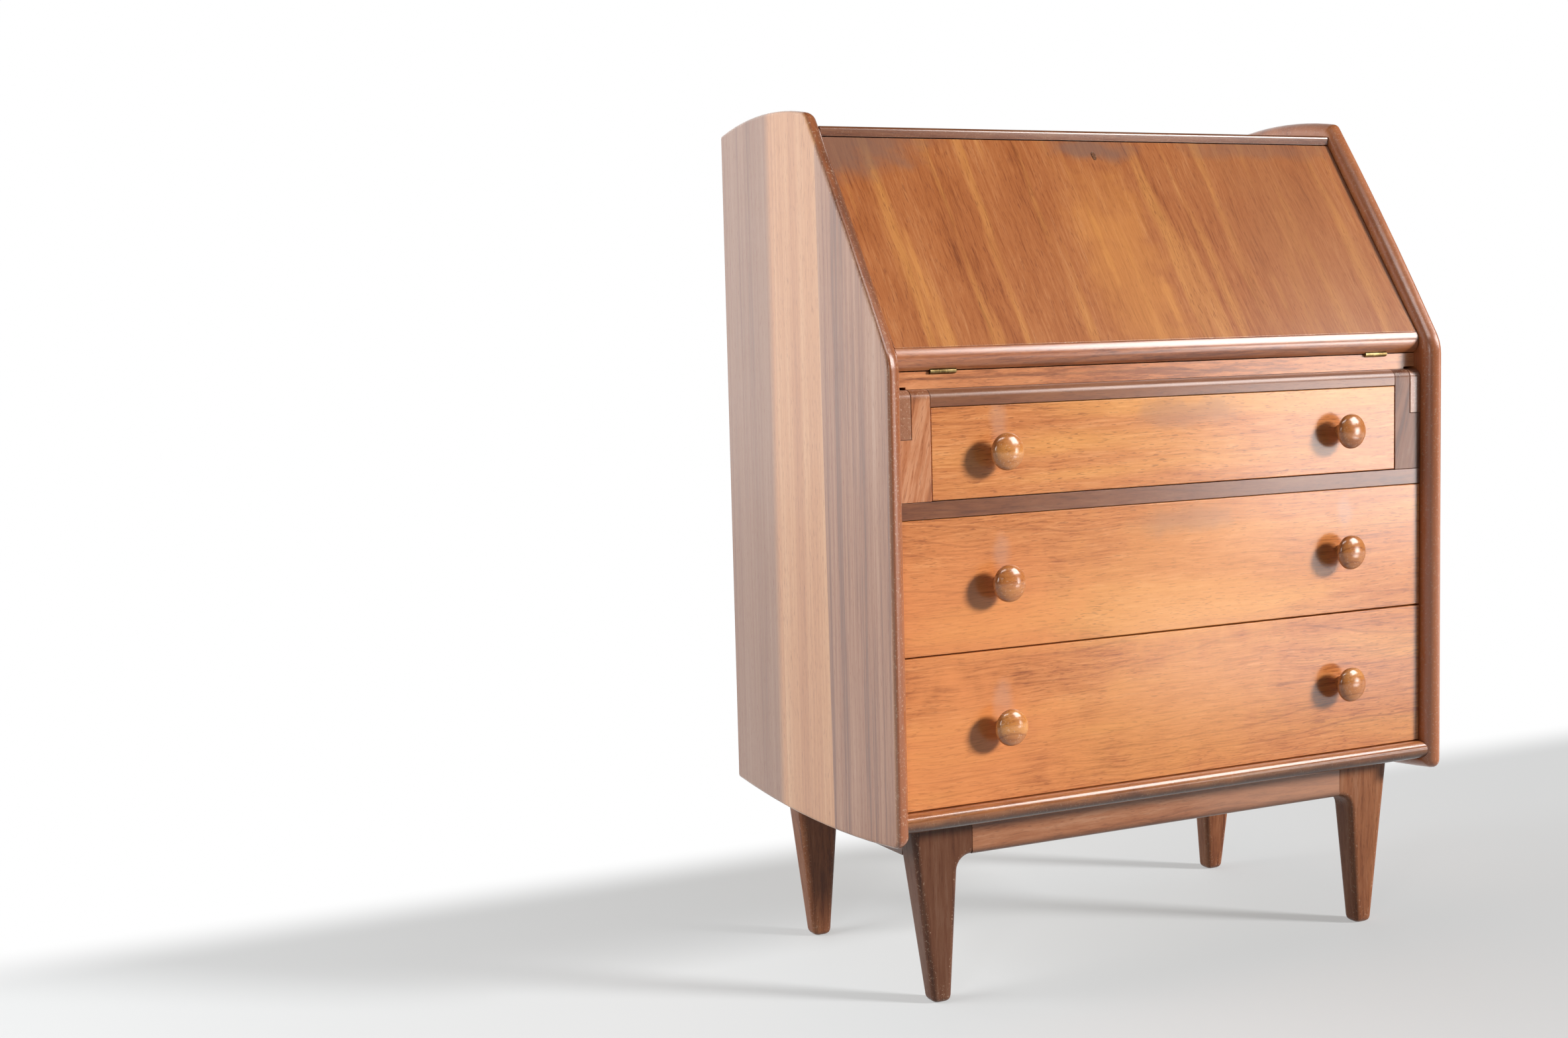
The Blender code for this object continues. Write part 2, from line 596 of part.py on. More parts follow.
def leaf_outline():
    """A hinge leaf with its barrel on the axis. The leaf runs along the first axis, below the second."""
    join = asin(LEAF_THICK / BARREL_RADIUS)
    sides = 18
    turns = [(2 * pi - join) * k / sides for k in range(sides + 1)]
    barrel = [(BARREL_RADIUS * cos(turn), BARREL_RADIUS * sin(turn)) for turn in turns]
    return [(LEAF_WIDTH, 0), *barrel, (LEAF_WIDTH, -LEAF_THICK)]


def make_hinges(bureau, fall, rail_wood, fall_wood):
    """Two brass hinges, let in flush: two knuckles on the rail's leaf, one between them on the fall's."""
    axis = empty("hinge_axis", bureau, (0, HINGE_Y, HINGE_Z))
    outline = leaf_outline()
    half = HINGE_LENGTH / 2
    knuckle = HINGE_LENGTH / 6
    clear = BARREL_RADIUS + 2 * FIT
    room = half + FIT
    deep = LEAF_WIDTH + FIT
    thick = LEAF_THICK + FIT
    bores, barrels, rail_pockets, fall_pockets, rail_gaps, fall_gaps = [], [], [], [], [], []
    leaves = []
    for name, side in (("left", -1), ("right", 1)):
        x = side * (INNER - HINGE_INSET)
        rail_leaf = prism("X", x - half, x + half, outline)
        rail_leaf = place("hinge_leaf_rail_" + name, rail_leaf, BRASS, axis)
        fall_leaf = prism("X", x - half, x + half, [(b, a) for a, b in outline])
        fall_leaf = place("hinge_leaf_fall_" + name, fall_leaf, BRASS, fall)
        leaves.append((rail_leaf, fall_leaf))
        pin = rod("X", x - half, x + half, (0, 0), PIN_RADIUS, PIN_SIDES)
        place("hinge_pin_" + name, pin, BRASS, axis)
        bores.append(rod("X", x - room, x + room, (0, 0), PIN_RADIUS + FIT, PIN_SIDES))
        barrels.append(rod("X", x - room, x + room, (0, 0), clear))
        rail_pockets.append(box((x - room, x + room), (0, deep), (-thick, clear)))
        fall_pockets.append(box((x - room, x + room), (-thick, clear), (0, deep)))
        rail_gaps.append(box((x - knuckle, x + knuckle), (-clear, clear), (-clear, clear)))
        for hand in (-1, 1):
            ends = sorted((x + hand * (knuckle - FIT), x + hand * (half + FIT)))
            fall_gaps.append(box(ends, (-clear, clear), (-clear, clear)))
    bore = cutter("pin_bores", joined(bores), axis)
    rail_gap = cutter("rail_leaf_gaps", joined(rail_gaps), axis)
    fall_gap = cutter("fall_leaf_gaps", joined(fall_gaps), fall)
    for rail_leaf, fall_leaf in leaves:
        cut(rail_leaf, rail_gap)
        cut(rail_leaf, bore)
        cut(fall_leaf, fall_gap)
        cut(fall_leaf, bore)
    barrel_room = cutter("barrel_room", joined(barrels), axis)
    rail_pocket = cutter("rail_leaf_pockets", joined(rail_pockets), axis)
    fall_pocket = cutter("fall_leaf_pockets", joined(fall_pockets), fall)
    for wood in rail_wood:
        cut(wood, rail_pocket)
        cut(wood, barrel_room)
    for wood in fall_wood:
        cut(wood, fall_pocket)
        cut(wood, barrel_room)


def make_leg(name, side, back, bureau):
    """A tapering leg, with an ear that rounds into the apron. Built at +x and the front, then mirrored."""
    foot_outer = LEG_OUTER - LEG_SPLAY
    ear_x = LEG_JOINT + EAR
    shape = sharp((LEG_JOINT, LEG_TOP), (LEG_OUTER, LEG_TOP), (foot_outer, 0), (foot_outer - FOOT, 0))
    shape += [(ear_x, APRON_LOW, EAR_ROUND), *sharp((LEG_JOINT, APRON_LOW))]
    bm = prism("Y", 0, 1, rounded(shape))

    def is_soft(one, two):
        at_top = same(one.z, LEG_TOP) and same(two.z, LEG_TOP)
        at_joint = same(one.x, LEG_JOINT) and same(two.x, LEG_JOINT)
        inside_face = not same(one.y, two.y) and not same(one.z, 0)
        return not (at_top or at_joint or inside_face)

    edges = edges_where(bm, is_soft)
    for vert in bm.verts:
        down = 1 - vert.co.z / LEG_TOP
        depth = LEG_DEPTH + (FOOT - LEG_DEPTH) * down
        vert.co.y = LEG_FRONT + (FOOT_FORWARD if back else FOOT_BACK) * down + depth * vert.co.y
    round_edges(bm, edges, min(LEG_ROUND, LEG_ROUND_SHARE * FOOT), segments=4)
    for vert in bm.verts:
        vert.co.x *= side
        if back:
            vert.co.y = LEG_FRONT + BASE_BACK - vert.co.y
    place(name, bm, SOLID_TEAK, bureau)


def make_base(bureau):
    for hand, side in (("left", -1), ("right", 1)):
        make_leg("leg_front_" + hand, side, False, bureau)
        make_leg("leg_back_" + hand, side, True, bureau)
        outer = LEG_OUTER - STRETCHER_INSET
        x = sorted((side * outer, side * (outer - STRETCHER_THICK)))
        y = (LEG_FRONT + LEG_DEPTH + FIT, BASE_BACK - LEG_DEPTH - FIT)
        place("side_stretcher_" + hand, box(x, y, (APRON_LOW, LEG_TOP)), SOLID_TEAK, bureau)
    end = LEG_JOINT - FIT
    for name, face, back in (("front_apron", LEG_FRONT, 1), ("back_apron", BASE_BACK, -1)):
        rear = face + back * APRON_THICK
        shape = [(face, APRON_LOW, APRON_ROUND)]
        shape += sharp((rear, APRON_LOW), (rear, LEG_TOP), (face, LEG_TOP))
        place(name, prism("X", -end, end, rounded(shape)), SOLID_TEAK, bureau)


def make_pigeonholes(bureau):
    front = BOARD_BACK - PIGEON_DEPTH
    floor = HINGE_Z + FIT
    shelf_low = floor + SHELF_RISE
    shelf = box((-BOARD_END, BOARD_END), (front, BOARD_BACK), (shelf_low, shelf_low + SHELF_THICK))
    place("pigeonhole_shelf", shelf, VENEER, bureau)
    for hand, side in (("left", -1), ("right", 1)):
        middle = side * (INNER - DIVIDER_INSET)
        x = (middle - SHELF_THICK / 2, middle + SHELF_THICK / 2)
        divider = box(x, (front, BOARD_BACK), (floor, shelf_low - FIT))
        place("pigeonhole_divider_" + hand, divider, VENEER, bureau)


def main():
    for old in list(bpy.data.objects):
        bpy.data.objects.remove(old)
    bureau = empty("bureau", None, (0, -MIDDLE_Y, 0))
    make_sides(bureau)
    desk_floor = make_boards(bureau)
    hinge_rail = make_rails(bureau)
    make_stiles(bureau)
    make_lopers(bureau)
    make_drawer("top_drawer", TOP_FLOOR, TOP_OPENING, TOP_HALF, False, bureau)
    make_drawer("middle_drawer", MIDDLE_FLOOR, MIDDLE_OPENING, INNER, True, bureau)
    make_drawer("bottom_drawer", BOTTOM_RAIL_TOP, BOTTOM_OPENING, INNER, True, bureau)
    fall, lipping, panel = make_fall(bureau)
    make_hinges(bureau, fall, (hinge_rail, desk_floor), (lipping, panel))
    make_base(bureau)
    make_pigeonholes(bureau)


main()
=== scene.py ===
# Bureau cabinet in teak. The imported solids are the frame, and every showing piece is modelled on them.
import json
import math

import bpy
from mathutils import Matrix, Vector


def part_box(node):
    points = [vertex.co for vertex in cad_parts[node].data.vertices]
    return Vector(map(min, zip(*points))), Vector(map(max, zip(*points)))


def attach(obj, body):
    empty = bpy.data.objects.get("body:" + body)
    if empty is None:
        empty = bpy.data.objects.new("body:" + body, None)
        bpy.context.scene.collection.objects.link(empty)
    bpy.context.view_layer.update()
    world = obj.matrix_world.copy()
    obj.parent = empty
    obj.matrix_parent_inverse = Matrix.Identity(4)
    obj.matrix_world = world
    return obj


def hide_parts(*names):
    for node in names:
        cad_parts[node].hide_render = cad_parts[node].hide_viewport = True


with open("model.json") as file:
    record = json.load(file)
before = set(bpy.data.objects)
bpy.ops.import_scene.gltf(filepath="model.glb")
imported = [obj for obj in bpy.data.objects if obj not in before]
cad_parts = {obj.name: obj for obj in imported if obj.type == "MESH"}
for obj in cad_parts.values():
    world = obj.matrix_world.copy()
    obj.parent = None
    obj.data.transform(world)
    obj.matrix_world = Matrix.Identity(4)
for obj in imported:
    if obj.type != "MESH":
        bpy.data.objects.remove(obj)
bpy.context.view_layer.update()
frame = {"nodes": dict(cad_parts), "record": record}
nodeBody = {node: body for body, group in frame["record"]["behaviour"]["bodies"].items() for node in group}
nodeSlot = {row["node"]: row["material_slot"] for row in frame["record"]["subparts"]}
hands = ("left", "right")
drawers = ("top_drawer", "middle_drawer", "bottom_drawer")
print("frame loaded with", len(frame["nodes"]), "nodes")


def shade(red, green, blue):
    # a colour as it is seen on a screen, 0 to 255, turned into light
    tones = []
    for part in (red, green, blue):
        part = part / 255
        tones.append(part / 12.92 if part <= 0.04045 else ((part + 0.055) / 1.055) ** 2.4)
    return (*tones, 1.0)


def put(tree, kind, inputs, **settings):
    node = tree.nodes.new("ShaderNode" + kind)
    for key, value in settings.items():
        setattr(node, key, value)
    for key, value in inputs.items():
        if isinstance(value, bpy.types.NodeSocket):
            tree.links.new(value, node.inputs[key])
        else:
            node.inputs[key].default_value = value
    return node


def calc(tree, operation, *values):
    return put(tree, "Math", dict(enumerate(values)), operation=operation).outputs[0]


def vectorCalc(tree, operation, *values):
    return put(tree, "VectorMath", dict(enumerate(values)), operation=operation).outputs[0]


def stretched(tree, vector, along, across):
    return vectorCalc(tree, "MULTIPLY", vector, (along, across, across))


def noise(tree, vector, detail=2.0, rough=0.5, scale=1.0):
    inputs = {"Vector": vector, "Scale": scale, "Detail": detail, "Roughness": rough}
    return put(tree, "TexNoise", inputs).outputs


def eased(tree, value, low, high, start=0.0, end=1.0):
    inputs = {"Value": value, "From Min": low, "From Max": high, "To Min": start, "To Max": end}
    return put(tree, "MapRange", inputs, interpolation_type="SMOOTHSTEP").outputs[0]


def mixed(tree, amount, first, second):
    return put(tree, "Mix", {0: amount, 6: first, 7: second}, data_type="RGBA").outputs[2]


def ramped(tree, value, colours):
    node = put(tree, "ValToRGB", {"Fac": value})
    stops = node.color_ramp.elements
    while len(stops) < len(colours):
        stops.new(0.5)
    for index, colour in enumerate(colours):
        stops[index].position = index / (len(colours) - 1)
        stops[index].color = shade(*colour)
    return node.outputs[0]


def startMaterial(name):
    material = bpy.data.materials.new(name)
    material.use_nodes = True
    material.node_tree.nodes.clear()
    return material, material.node_tree


patch = {"core": 0.25, "ragged": 1.2}  # the share that has its full force, and how uneven the edge is


def markMask(tree, place, cloud, mark):
    # a soft-edged patch round a place on the wood: haze, stain or glow in the wood, or painted shade, sheen
    # and reflection
    away = vectorCalc(tree, "SUBTRACT", place, mark["at"])
    away = vectorCalc(tree, "DIVIDE", away, mark["reach"])
    away = put(tree, "VectorMath", {0: away}, operation="LENGTH").outputs["Value"]
    ragged = mark.get("ragged", patch["ragged"])
    away = calc(tree, "ADD", away, calc(tree, "MULTIPLY_ADD", cloud, ragged, -0.5 * ragged))
    return eased(tree, away, patch["core"], 1.0, mark["force"], 0.0)


toneSpread = ((0.72, 0.62, 0.55), (0.93, 0.88, 0.83), (1.0, 1.0, 1.0), (1.07, 1.16, 1.27))  # red, green, blue


def toned(tree, value, base):
    # a wood's dark, low, middle and light tones, all taken from its one base colour
    tones = [[min(part * share, 255) for part, share in zip(base, shares)] for shares in toneSpread]
    return ramped(tree, value, tones)


def woodFinish(name, look):
    material, tree = startMaterial(name)
    place = put(tree, "TexCoord", {}).outputs["Object"]
    parts = put(tree, "SeparateXYZ", {"Vector": place}).outputs
    turn = [math.radians(angle) for angle in look["turn"]]
    grain = put(tree, "Mapping", {"Vector": place, "Location": look["shift"], "Rotation": turn}).outputs[0]
    steps = []
    for joint in look.get("joints", ()):  # boards glued side by side, each cut from another place of the log
        across = calc(tree, "MULTIPLY_ADD", parts["Z"], -joint["lean"], parts["Y"])
        steps.append(eased(tree, across, joint["at"] - joint["soft"], joint["at"] + joint["soft"]))
        hard = calc(tree, "GREATER_THAN", across, joint["at"])
        jump = put(tree, "CombineXYZ", {0: hard, 1: hard, 2: hard}).outputs[0]
        grain = vectorCalc(tree, "ADD", grain, vectorCalc(tree, "MULTIPLY", jump, look["boardJump"]))
    sway = noise(tree, stretched(tree, grain, *look["swayScale"]))["Color"]
    sway = vectorCalc(tree, "SUBTRACT", sway, (0.5, 0.5, 0.5))
    sway = vectorCalc(tree, "MULTIPLY", sway, (0.0, look["sway"], look["sway"]))
    grain = vectorCalc(tree, "ADD", grain, sway)
    zone = noise(tree, stretched(tree, grain, *look["zoneScale"]))["Fac"]
    streak = noise(tree, stretched(tree, grain, *look["streakScale"]), detail=3.0, rough=0.55)["Fac"]
    fibre = noise(tree, stretched(tree, grain, *look["fibreScale"]), detail=4.0, rough=0.7)["Fac"]
    tone = 0.5 - 0.5 * (look["zone"] + look["streak"] + look["fibre"])
    for layer, weight in ((zone, look["zone"]), (streak, look["streak"]), (fibre, look["fibre"])):
        tone = calc(tree, "MULTIPLY_ADD", layer, weight, tone)
    boards = []
    for base, force in zip(look["bases"], look["figure"]):
        boards.append(toned(tree, calc(tree, "MULTIPLY_ADD", tone, force, 0.5 - 0.5 * force), base))
    colour = boards[0]
    for step, board in zip(steps, boards[1:]):
        colour = mixed(tree, step, colour, board)
    # golden streaks, where the light goes deeper into the wood
    gold = noise(tree, stretched(tree, grain, *look["goldScale"]))["Fac"]
    gold = eased(tree, gold, *look["goldBand"], 0.0, look["gold"])
    colour = mixed(tree, gold, colour, shade(*look["goldColour"]))
    # growth lines run with the grain, bent by a slow field: each starts sharp and fades
    sides = put(tree, "SeparateXYZ", {"Vector": grain}).outputs
    ring = calc(tree, "MULTIPLY", calc(tree, "ADD", sides["Y"], sides["Z"]), look["ringRate"])
    bend = noise(tree, stretched(tree, grain, *look["ringScale"]), rough=0.4)["Fac"]
    ring = calc(tree, "FRACT", calc(tree, "MULTIPLY_ADD", bend, look["ringBend"], ring))
    line = eased(tree, ring, look["lineStart"], look["lineWidth"], look["line"], 0.0)
    line = calc(tree, "MULTIPLY", line, eased(tree, ring, 0.0, look["lineStart"]))
    line = calc(tree, "MULTIPLY", line, eased(tree, zone, *look["lineFade"]))
    colour = mixed(tree, line, colour, shade(*look["lineColour"]))
    pore = noise(tree, stretched(tree, grain, *look["poreScale"]), detail=1.0)["Fac"]
    poreMask = eased(tree, pore, *look["poreBand"], 0.0, look["pore"])
    colour = mixed(tree, poreMask, colour, shade(*look["poreColour"]))
    if "lipAt" in look:  # the solid lipping that covers the edge of the veneered board
        depth = calc(tree, "ABSOLUTE", parts["X"])
        lip = eased(tree, depth, look["lipAt"] - look["lipSoft"], look["lipAt"], 1.0, 0.0)
        colour = mixed(tree, lip, colour, toned(tree, tone, look["lipBase"]))
    cloud = noise(tree, place, detail=3.0, rough=0.55, scale=look["cloudScale"])["Fac"]
    for mark in look.get("marks", ()):
        colour = mixed(tree, markMask(tree, place, cloud, mark), colour, shade(*mark["colour"]))
    # handled arrises have lost some of their colour
    arris = put(tree, "Attribute", {}, attribute_name="arris").outputs["Fac"]
    rubbed = noise(tree, place, detail=3.0, rough=0.6, scale=look["wearScale"])["Fac"]
    if "scuffTo" in look:  # the foot of a leg is scuffed all round
        low = eased(tree, parts["Z"], look["scuffFrom"], look["scuffTo"], look["scuff"], 0.0)
        arris = calc(tree, "MAXIMUM", arris, low)
    rubbed = calc(tree, "MULTIPLY", arris, eased(tree, rubbed, *look["wearBand"], 0.0, look["wear"]))
    colour = mixed(tree, rubbed, colour, shade(*look["wearColour"]))
    gloss = calc(tree, "MULTIPLY_ADD", fibre, look["fibreGloss"], look["rough"] - look["fibreGloss"] / 2)
    gloss = calc(tree, "SUBTRACT", gloss, look["cloudGloss"] / 2)
    gloss = calc(tree, "MULTIPLY_ADD", cloud, look["cloudGloss"], gloss)
    gloss = calc(tree, "ADD", gloss, calc(tree, "MULTIPLY", poreMask, look["poreGloss"]))
    height = calc(tree, "SUBTRACT", fibre, poreMask)
    relief = {"Strength": look["bumpForce"], "Distance": look["bump"], "Height": height}
    bump = put(tree, "Bump", relief).outputs[0]
    shader = put(tree, "BsdfPrincipled", {"Base Color": colour, "Roughness": gloss, "Normal": bump,
                                          "Specular IOR Level": look["specular"], "Coat Weight": look["coat"],
                                          "Coat Roughness": look["coatRough"], "Coat IOR": look["coatIor"]})
    put(tree, "OutputMaterial", {"Surface": shader.outputs[0]})
    return material


# what the finishes share; each finish below changes what is its own
teak = {"turn": (0, 0, 0), "shift": (0, 0, 0), "boardJump": (3.7, 1.3, 2.1), "bases": [(210, 134, 74)],
        "figure": [1.0], "sway": 0.012, "swayScale": (7.0, 11.0), "zone": 1.1, "zoneScale": (1.8, 10.0),
        "streak": 0.6, "streakScale": (2.6, 80.0), "fibre": 1.2, "fibreScale": (24.0, 280.0),
        "gold": 0.4, "goldScale": (1.8, 20.0), "goldBand": (0.52, 0.72), "goldColour": (236, 170, 90),
        "ringScale": (1.6, 6.0), "ringRate": 52.0, "ringBend": 6.0, "line": 0.4, "lineStart": 0.05,
        "lineWidth": 0.2, "lineFade": (0.40, 0.62, 1.0, 0.1), "lineColour": (130, 62, 30),
        "pore": 0.4, "poreScale": (80.0, 900.0), "poreBand": (0.60, 0.70), "poreColour": (118, 58, 30),
        "wear": 0.3, "wearScale": 420.0, "wearBand": (0.58, 0.66), "wearColour": (226, 196, 168),
        "cloudScale": 26.0, "rough": 0.42, "fibreGloss": 0.14, "cloudGloss": 0.12, "poreGloss": 0.2,
        "specular": 0.2, "coat": 0.8, "coatRough": 0.22, "coatIor": 1.5, "bump": 0.00008, "bumpForce": 0.5}
upright = (0, 90, 0)  # the grain of a piece that stands, and of one that runs from front to back
inward = (0, 0, 90)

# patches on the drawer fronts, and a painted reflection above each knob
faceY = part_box("bottom_drawer_front")[0].y
smoke = {"colour": (160, 112, 82), "reach": (0.10, 0.05, 0.022), "force": 0.5}
golden = {"colour": (226, 152, 80), "reach": (0.24, 0.1, 0.12), "force": 0.4}
ruddy = {"colour": (228, 142, 82), "reach": (0.2, 0.1, 0.11), "force": 0.5}
# painted reflection: a pale streak above a knob, where the knob's highlight shows in the polish
paintedKnobReflection = {"colour": (186, 152, 134), "reach": (0.016, 0.05, 0.030), "force": 0.3}
frontTeak = {**teak, "figure": [1.25], "pore": 0.5, "fibre": 1.7, "fibreScale": (22.0, 480.0), "streak": 0.4,
             "zone": 0.8, "line": 0.42, "lineWidth": 0.14, "bases": [(206, 131, 75)],
             "marks": [
                 {**golden, "at": (0.0, faceY, 0.30)}, {**golden, "at": (0.02, faceY, 0.46)},
                 {**ruddy, "at": (-0.29, faceY, 0.29)}, {**ruddy, "at": (-0.29, faceY, 0.44)},
                 {**smoke, "at": (0.02, faceY, 0.645)}, {**smoke, "at": (0.01, faceY, 0.522)},
                 {**paintedKnobReflection, "at": (-0.236, faceY, 0.642)}, {**paintedKnobReflection, "at": (-0.236, faceY, 0.499)},
                 {**paintedKnobReflection, "at": (-0.236, faceY, 0.340)}, {**paintedKnobReflection, "at": (0.243, faceY, 0.519)}]}

# golden streaks and a dull haze on the fall
gleam = {"colour": (218, 150, 80), "force": 0.34}
dusk = {"colour": (168, 108, 66), "force": 0.35}
glow = {"colour": (222, 150, 76), "force": 0.35}
haze = {"colour": (122, 94, 82), "force": 0.7}
fallTeak = {**teak, "turn": (34, 90, 0), "shift": (0.4, 1.1, 0.3), "gold": 0.3, "goldScale": (2.6, 42.0),
            "line": 0.2, "coat": 0.6, "streak": 0.7, "streakScale": (6.0, 90.0), "zone": 0.9,
            "zoneScale": (3.5, 15.0), "fibre": 1.6, "fibreScale": (22.0, 440.0), "pore": 0.5,
            "bases": [(176, 107, 60)], "figure": [1.1],
            "marks": [
                {**gleam, "at": (-0.042, -0.100, 0.835), "reach": (0.006, 0.09, 0.09)},
                {**gleam, "at": (0.020, -0.146, 0.771), "reach": (0.007, 0.06, 0.06)},
                {**gleam, "at": (-0.296, -0.115, 0.818), "reach": (0.006, 0.07, 0.06)},
                {**gleam, "at": (0.181, -0.143, 0.776), "reach": (0.006, 0.05, 0.05), "force": 0.25},
                {**dusk, "at": (0.25, -0.10, 0.83), "reach": (0.16, 0.3, 0.3)},
                {**glow, "at": (-0.02, -0.12, 0.80), "reach": (0.08, 0.2, 0.2)},
                {**haze, "at": (-0.345, -0.020, 0.952), "reach": (0.15, 0.06, 0.06)},
                {**haze, "at": (0.0, -0.022, 0.953), "reach": (0.09, 0.03, 0.022)},
                {**haze, "at": (0.25, -0.02, 0.956), "reach": (0.16, 0.03, 0.02), "force": 0.35}]}
deskTeak = {**teak, "shift": (0.9, 0.2, 1.7), "bases": [(196, 122, 68)]}
dividerTeak = {**deskTeak, "turn": inward}

# three boards side by side in each side, with a solid lipping round the edge
slopeStain = {"colour": (84, 50, 34), "at": (-0.368, -0.09, 0.87), "reach": (0.0105, 0.3, 0.17), "force": 0.6}
sideTeak = {**teak, "turn": upright, "specular": 0.5, "coat": 1.0, "coatRough": 0.24, "gold": 0.0,
            "line": 0.3, "ringRate": 110.0, "ringBend": 2.5, "ringScale": (0.5, 5.0), "lineWidth": 0.5,
            "zone": 0.9, "streak": 0.8, "fibre": 0.7, "zoneScale": (0.5, 16.0), "streakScale": (0.6, 70.0),
            "fibreScale": (6.0, 280.0), "sway": 0.004, "swayScale": (2.0, 7.0),
            "joints": [{"at": -0.0533, "soft": 0.0012, "lean": 0.0155},
                       {"at": 0.083, "soft": 0.010, "lean": 0.0}],
            "lipAt": 0.3786, "lipSoft": 0.0012, "lipBase": (148, 84, 44),
            "bases": [(164, 116, 86), (198, 140, 94), (150, 108, 82)], "figure": [2.5, 1.35, 1.7],
            "marks": [slopeStain]}
# the right side wears the left side's boards; its lipping and inner face are painted lighter, painted light
# where the lamps leave that face unlit
rightTeak = {**sideTeak, "lipBase": (192, 116, 68), "marks": []}

# the solid frame, from the dark rails to the base
railTeak = {**teak, "gold": 0.15, "goldColour": (196, 128, 78), "lineColour": (90, 46, 26),
            "poreColour": (84, 44, 26), "coat": 1.0, "coatRough": 0.28, "bases": [(126, 76, 46)],
            "zoneScale": (2.0, 26.0), "wear": 0.06, "figure": [1.6]}
lippingTeak = {**railTeak, "shift": (0.7, 0.4, 0.9), "bases": [(176, 106, 62)], "coatRough": 0.26,
               "coatIor": 1.8}
topTeak = {**railTeak, "shift": (0.2, 1.4, 0.6), "coatRough": 0.2, "coatIor": 1.8}
hingeTeak = {**railTeak, "shift": (1.9, 0.1, 0.5), "bases": [(204, 134, 86)], "streak": 1.0}
# painted shade: the lower half of the bottom rail's nose, which faces down, is painted dark
railUndersidePaintedShade = {"colour": (50, 25, 12), "at": (0.0, -0.188, 0.2030), "reach": (9.0, 0.05, 0.026),
                  "force": 0.95, "ragged": 0.3}
bottomTeak = {**railTeak, "shift": (1.2, 0.8, 0.2), "bases": [(184, 116, 68)], "coatRough": 0.15,
              "coatIor": 1.6, "marks": [railUndersidePaintedShade]}
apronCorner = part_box("front_apron")[0]
apronSheen = {"colour": (192, 150, 126), "at": (0.20, apronCorner.y, 0.185), "reach": (0.24, 0.06, 0.04),
              "force": 0.34, "ragged": 0.3}
# darker along the lowest centimetre of the aprons and the side stretchers
apronLowerEdgeDarker = {"colour": (64, 40, 28), "at": (0.0, 0.0, apronCorner.z), "reach": (9.0, 9.0, 0.010),
              "force": 0.6, "ragged": 0.3}
apronTeak = {**railTeak, "shift": (0.3, 1.6, 1.1), "bases": [(158, 102, 68)],
             "marks": [apronSheen, apronLowerEdgeDarker]}
stretcherTeak = {**apronTeak, "turn": inward}
legTeak = {**railTeak, "turn": upright, "coat": 0.3, "coatRough": 0.2, "wear": 0.2, "scuff": 0.8,
           "scuffFrom": 0.009, "scuffTo": 0.03, "streak": 1.2, "streakScale": (1.4, 110.0), "zone": 0.7,
           "bases": [(100, 62, 42)]}
# a lighter copy of the leg wood; on the back-left leg it is painted light, lifting a leg that stands in shade
warmLegTeak = {**legTeak, "shift": (0.6, 0.9, 0.4), "bases": [(138, 86, 56)]}
# painted shade: the top of the left stile, just under the rail, is painted dark
stileTopPaintedShade = {"colour": (112, 64, 38), "at": (-0.34, faceY, 0.686), "reach": (0.1, 0.1, 0.02), "force": 0.7}
stileTeak = {**teak, "turn": (0, 76, 0), "zone": 1.5, "streak": 1.4, "zoneScale": (2.0, 30.0),
             "goldColour": (206, 138, 92), "lineColour": (96, 48, 30), "bases": [(186, 120, 80)],
             "figure": [1.6], "marks": [stileTopPaintedShade]}
darkStileTeak = {**stileTeak, "shift": (0.4, 0.2, 0.8), "gold": 0.1, "coat": 0.3, "bases": [(124, 82, 60)],
                 "marks": []}
loperTeak = {**teak, "turn": inward, "bases": [(160, 112, 85)], "line": 0.3, "gold": 0.0, "fibre": 0.5}
plugTeak = {**teak, "turn": upright, "bases": [(112, 74, 50)], "line": 0.2, "gold": 0.0, "coat": 0.4}
knobTeak = {**teak, "rough": 0.32, "coat": 1.0, "coatRough": 0.16, "coatIor": 1.6, "line": 0.6, "zone": 0.4,
            "streak": 0.9, "bases": [(196, 126, 68)]}

# the plain wood inside and behind
paleWood = {**teak, "rough": 0.55, "coat": 0.0, "specular": 0.3, "gold": 0.1, "line": 0.3, "wear": 0.1,
            "zone": 0.5, "streak": 0.4, "fibre": 0.5, "goldColour": (226, 196, 150),
            "lineColour": (176, 140, 98), "poreColour": (168, 132, 90), "bases": [(214, 184, 142)]}
paleDeep = {**paleWood, "turn": inward, "shift": (0.5, 0.9, 0.3)}
plyWood = {**paleWood, "bases": [(188, 150, 108)], "lineColour": (150, 112, 74), "poreColour": (138, 100, 66)}
plyUpright = {**plyWood, "turn": upright, "shift": (0.2, 0.5, 1.4)}
woods = {"frontTeak": frontTeak, "fallTeak": fallTeak, "deskTeak": deskTeak, "dividerTeak": dividerTeak,
         "sideTeak": sideTeak, "rightTeak": rightTeak, "railTeak": railTeak, "topTeak": topTeak,
         "lippingTeak": lippingTeak, "hingeTeak": hingeTeak, "bottomTeak": bottomTeak,
         "apronTeak": apronTeak, "stretcherTeak": stretcherTeak, "legTeak": legTeak,
         "warmLegTeak": warmLegTeak, "stileTeak": stileTeak, "darkStileTeak": darkStileTeak,
         "loperTeak": loperTeak, "knobTeak": knobTeak, "plugTeak": plugTeak,
         "paleWood": paleWood, "paleDeep": paleDeep, "plyWood": plyWood, "plyUpright": plyUpright}
finishes = {name: woodFinish(name, look) for name, look in woods.items()}


